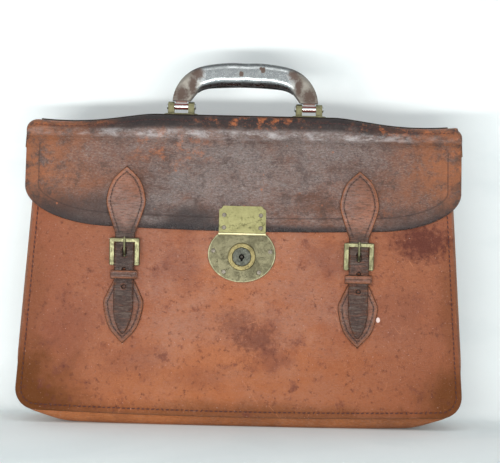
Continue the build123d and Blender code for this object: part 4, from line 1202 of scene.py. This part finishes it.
def strap_lift(x, up, edge):
    """A strap is pinched along its stitches and a little domed between them."""
    dome = 0.5 * smooth(edge, 3.5, 9.0) * smooth(up, 176, 195)
    return dome - 0.22 * pinch(edge) * smooth(up, 178, 190)


def chape_lift(x, up, edge):
    """The chape's leaf is pinched along its stitches too."""
    return -0.25 * pinch(edge) * (1 - smooth(up, 130, 138))


def beside(at, bed=None):
    """Places on the front for a piece drawn round x = 0, raised by a bed under it."""

    def place(x, up, out):
        return on_front(x + at, up, out + (bed(up) if bed else 0.0))

    return place


holes = [worn_hole(162.4, 1.55, 8.3), circle(0, 146.1, 1.4), circle(0, 129.8, 1.4)]
rows = (2.0, 3.2, 4.4)
for side, at in SIDES:
    name, skins, place = f"strap_{side}_leather", [strap_hide, suede], beside(at, under_strap)
    outline = strap_outline()
    strap = sheet(name, outline, STRAP_THICK, skins, rows, 3.2, strap_lift, place, holes=holes)
    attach(strap, "flap")
    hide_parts(f"strap_{side}")
    name, skins, place = f"chape_{side}_leather", [chape_hide, suede], beside(at)
    chape = sheet(name, chape_outline(), CHAPE_THICK, skins, rows, 3.2, chape_lift, place)
    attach(chape, "case")
    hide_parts(f"chape_{side}")
print("straps and chapes cut")


# %% Folds round the hinge bars, and keepers
PIN_UP, PIN_OUT, FOLD_RADIUS, FOLD_THICK, SLOT_HALF = 151.6, 2.58, 1.98, 1.1, 1.9
KEEPER_LOW, KEEPER_WIDE, KEEPER_THICK = 137.0, 8.2, 1.6


def band(name, ring, reach, place):
    """Leather bent along a side-on line of (up, out) points, between two places across."""
    half, (low, high) = TAIL_HALF, reach
    across = np.array([0, 0.3, 1.0, 2.2, 5.0, half]) - half
    across = np.concatenate([across, -across, [low + 0.3, high - 0.3, low, high]])
    across = np.unique(across[(across >= low - 1e-6) & (across <= high + 1e-6)].round(9))
    grid = np.stack([place(across, up, out) for up, out in ring], 0)
    near, run = np.minimum(across - low, high - across), run_along(ring)
    near = np.minimum(near, np.minimum(run, run[-1] - run)[:, None])
    return shell(name, grid, FOLD_THICK, near, [chape_hide])


turns = np.radians(np.linspace(85, 442, 26))
loop = np.stack([PIN_UP + FOLD_RADIUS * np.cos(turns), PIN_OUT + FOLD_RADIUS * np.sin(turns)], -1)
bow = rounded([(-11.9, 0.75), (11.9, 0.75), (11.9, 6.15), (-11.9, 6.15)], [1.2, 2.6, 2.6, 1.2], 1.0)
bow = np.concatenate([bow, bow[:1]])
for side, at in SIDES:
    for reach, name in (((-TAIL_HALF, -SLOT_HALF), "a"), ((SLOT_HALF, TAIL_HALF), "b")):
        fold = band(f"chape_{side}_fold_{name}", loop, reach, beside(at))
        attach(fold, "case")
        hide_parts(f"chape_{side}")
    ups = np.array([0, 0.25, 0.8, 1.6, 4.1, 6.6, 7.4, 7.95, KEEPER_WIDE])
    grid = np.stack([on_front(x + at, ups + KEEPER_LOW, out) for x, out in bow], 0)
    near = np.tile(np.minimum(ups, KEEPER_WIDE - ups), (len(bow), 1))
    near[0] = near[-1] = 2.0
    keeper = shell(f"keeper_{side}_leather", grid[:, ::-1], KEEPER_THICK, near, [chape_hide])
    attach(keeper, "case")
    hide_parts(f"keeper_{side}")
print("folds and keepers made")


# %% Sewing
THREAD_SUNK = 0.18


def seam_line(outline, from_edge, kept):
    """The stitch line inside an outline, for the run of heights that `kept` keeps."""
    line = inset(outline, from_edge)
    run = kept(line[:, 1])
    first = int(np.argmax(run & ~np.roll(run, 1)))
    return np.roll(line, -first, axis=0)[np.roll(run, -first)].T


x, up = seam_line(panel_outline(266, step=1.5), SEAM_IN, lambda up: up < 258)
depth = puff(x, up, np.full(len(x), SEAM_IN)) - 0.2
sewn = sew("panel_stitches", on_front(x, up, depth), thread, 4.6, 1.8, 0.58)
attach(sewn, "case")

x = np.linspace(-199, 199, 280)
up = crown(x) - 5.2
sewn = sew("flap_top_stitches", on_front(x, up, 3.1 + ridge(x, up)), thread, 4.2, 1.5, 0.42)
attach(sewn, "lid_top")

for side, at in SIDES:
    x, up = seam_line(strap_outline(), LEAF_SEAM_IN, lambda up: up > 188)
    places = on_front(x + at, up, under_strap(up) + STRAP_THICK - THREAD_SUNK)
    sewn = sew(f"strap_{side}_stitches", places, thread_pale, 3.6, 1.35, 0.36)
    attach(sewn, "flap")
    x, up = seam_line(chape_outline(), LEAF_SEAM_IN, lambda up: up < 134)
    places = on_front(x + at, up, CHAPE_THICK - THREAD_SUNK)
    sewn = sew(f"chape_{side}_stitches", places, thread_pale, 3.6, 1.35, 0.36)
    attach(sewn, "case")

# %% [markdown]
# ## Stage, light and camera
# The case stands on a pale sheet that runs up behind it. The photograph was lit softly from low in
# front, so the rivets are bright below and dark on top, and a soft shadow shows above the top edge.


# %% Stage
def paper():
    """A pale sheet, lit and a little bright of itself, that keeps the shadow; clear from behind."""
    f = Finish("paper")
    folds = f.noise(1.0, 3.0, 0.5, vector=f.stretched((4.5, 4.5, 2.0), (0.0, 0.5, 0.0)), distort=0.6)
    creases = f.noise(1.0, 4.0, 0.6, vector=f.stretched((9.0, 4.0, 16.0), (0.0, 0.3, 0.0)))
    shade = (folds.step(0.4, 0.62) * 0.6 + creases.step(0.5, 0.66) * 0.4).clip()
    tint = f.mix(shade, (0.83, 0.885, 0.895), (0.765, 0.83, 0.845))
    white = f.node("ShaderNodeBsdfDiffuse", None, {"Color": tint})
    glow = f.node("ShaderNodeEmission", None, {"Color": tint, "Strength": 0.06})
    both = f.node("ShaderNodeAddShader", None, [white, glow])
    clear = f.node("ShaderNodeBsdfTransparent")
    behind = f.node("ShaderNodeNewGeometry", None, None, "Backfacing")
    sided = f.node("ShaderNodeMixShader", None, [behind, both, clear])
    f.node("ShaderNodeOutputMaterial", None, {"Surface": sided})
    return f.material


def sweep_sheet():
    """The floor and the backdrop as one sheet with a soft bend between them."""
    start, bend, wide = 0.05, 0.055, 3.0
    line = [(-3.0, 0.0), (-1.0, 0.0), (start, 0.0)]
    for turn in np.linspace(0, math.pi / 2, 12)[1:]:
        line.append((start + bend * math.sin(turn), bend * (1 - math.cos(turn))))
    line.append((start + bend, 2.5))
    points = [(x, y, z) for y, z in line for x in (-wide, wide)]
    faces = [(2 * k, 2 * k + 1, 2 * k + 3, 2 * k + 2) for k in range(len(line) - 1)]
    return new_mesh("backdrop", points, faces, [paper()])


sweep_sheet()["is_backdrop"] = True

world = bpy.data.worlds.new("light") if not bpy.data.worlds else bpy.data.worlds[0]
bpy.context.scene.world = world
world.use_nodes = True
tree = world.node_tree
tree.nodes.clear()
rays = add_node(tree, "ShaderNodeLightPath").outputs
bounced = [rays["Is Glossy Ray"], rays["Is Transmission Ray"]]
mirror = add_node(tree, "ShaderNodeMath", {"operation": "MAXIMUM"}, bounced)
straight = [mirror.outputs[0], rays["Is Camera Ray"]]
either = add_node(tree, "ShaderNodeMath", {"operation": "MAXIMUM"}, straight)
lit = add_node(tree, "ShaderNodeBackground", None, {"Color": (0.92, 0.96, 1.0), "Strength": 0.34})
seen = add_node(tree, "ShaderNodeBackground", None, {"Strength": 1.0})
both = [either.outputs[0], lit.outputs[0], seen.outputs[0]]
join = add_node(tree, "ShaderNodeMixShader", None, both)
add_node(tree, "ShaderNodeOutputWorld", None, [join.outputs[0]])


def lamp(name, place, target, size, watts):
    """A soft rectangular light aimed at a point."""
    data = bpy.data.lights.new(name, "AREA")
    data.shape = "RECTANGLE"
    data.size, data.size_y = size
    data.energy = watts
    data.color = (1.0, 0.98, 0.95)
    holder = bpy.data.objects.new(name, data)
    holder.location = place
    holder.rotation_euler = (Vector(target) - Vector(place)).to_track_quat("-Z", "Y").to_euler()
    bpy.context.scene.collection.objects.link(holder)


lamp("low_front", (-0.15, -1.02, 0.035), (0, 0, 0.2), (0.9, 0.06), 9.2)
lamp("left", (-1.3, -1.3, 0.6), (0, 0.1, 0.2), (0.9, 0.9), 5)
lamp("right", (1.2, -1.3, 0.5), (0, 0.1, 0.2), (0.9, 0.9), 5)
lamp("top", (0.1, -0.8, 1.4), (0, 0.0, 0.2), (0.9, 0.6), 3.5)
print(len(bpy.data.lights), "lamps")

# %% Camera
DISTANCE, PANEL_AT, PIXEL, PICTURE_WIDE = 1.25, -0.038, 0.000946, 500
camera_data = bpy.data.cameras.new("camera")
camera = bpy.data.objects.new("camera", camera_data)
bpy.context.scene.collection.objects.link(camera)
bpy.context.scene.camera = camera
camera_data.sensor_width = 36.0
camera_data.lens = camera_data.sensor_width * (DISTANCE + PANEL_AT) / (PICTURE_WIDE * PIXEL)
middle = Vector((0.0074, PANEL_AT, 0.1846))
camera.location = middle + Vector((0, -PANEL_AT - DISTANCE, -0.035))
look = (middle - camera.location).to_track_quat("-Z", "Y")
camera.rotation_euler = (look.to_matrix() @ Matrix.Rotation(math.radians(1.3), 3, "Z")).to_euler()
bpy.context.scene.view_settings.view_transform = "Standard"

# %% Finish
final_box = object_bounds()
plain = {"cad": cad_box, "visual": final_box}
plain = {key: [list(map(float, corner)) for corner in box] for key, box in plain.items()}
print("solids", [[round(v, 4) for v in c] for c in plain["cad"]])
print("visual", [[round(v, 4) for v in c] for c in plain["visual"]])
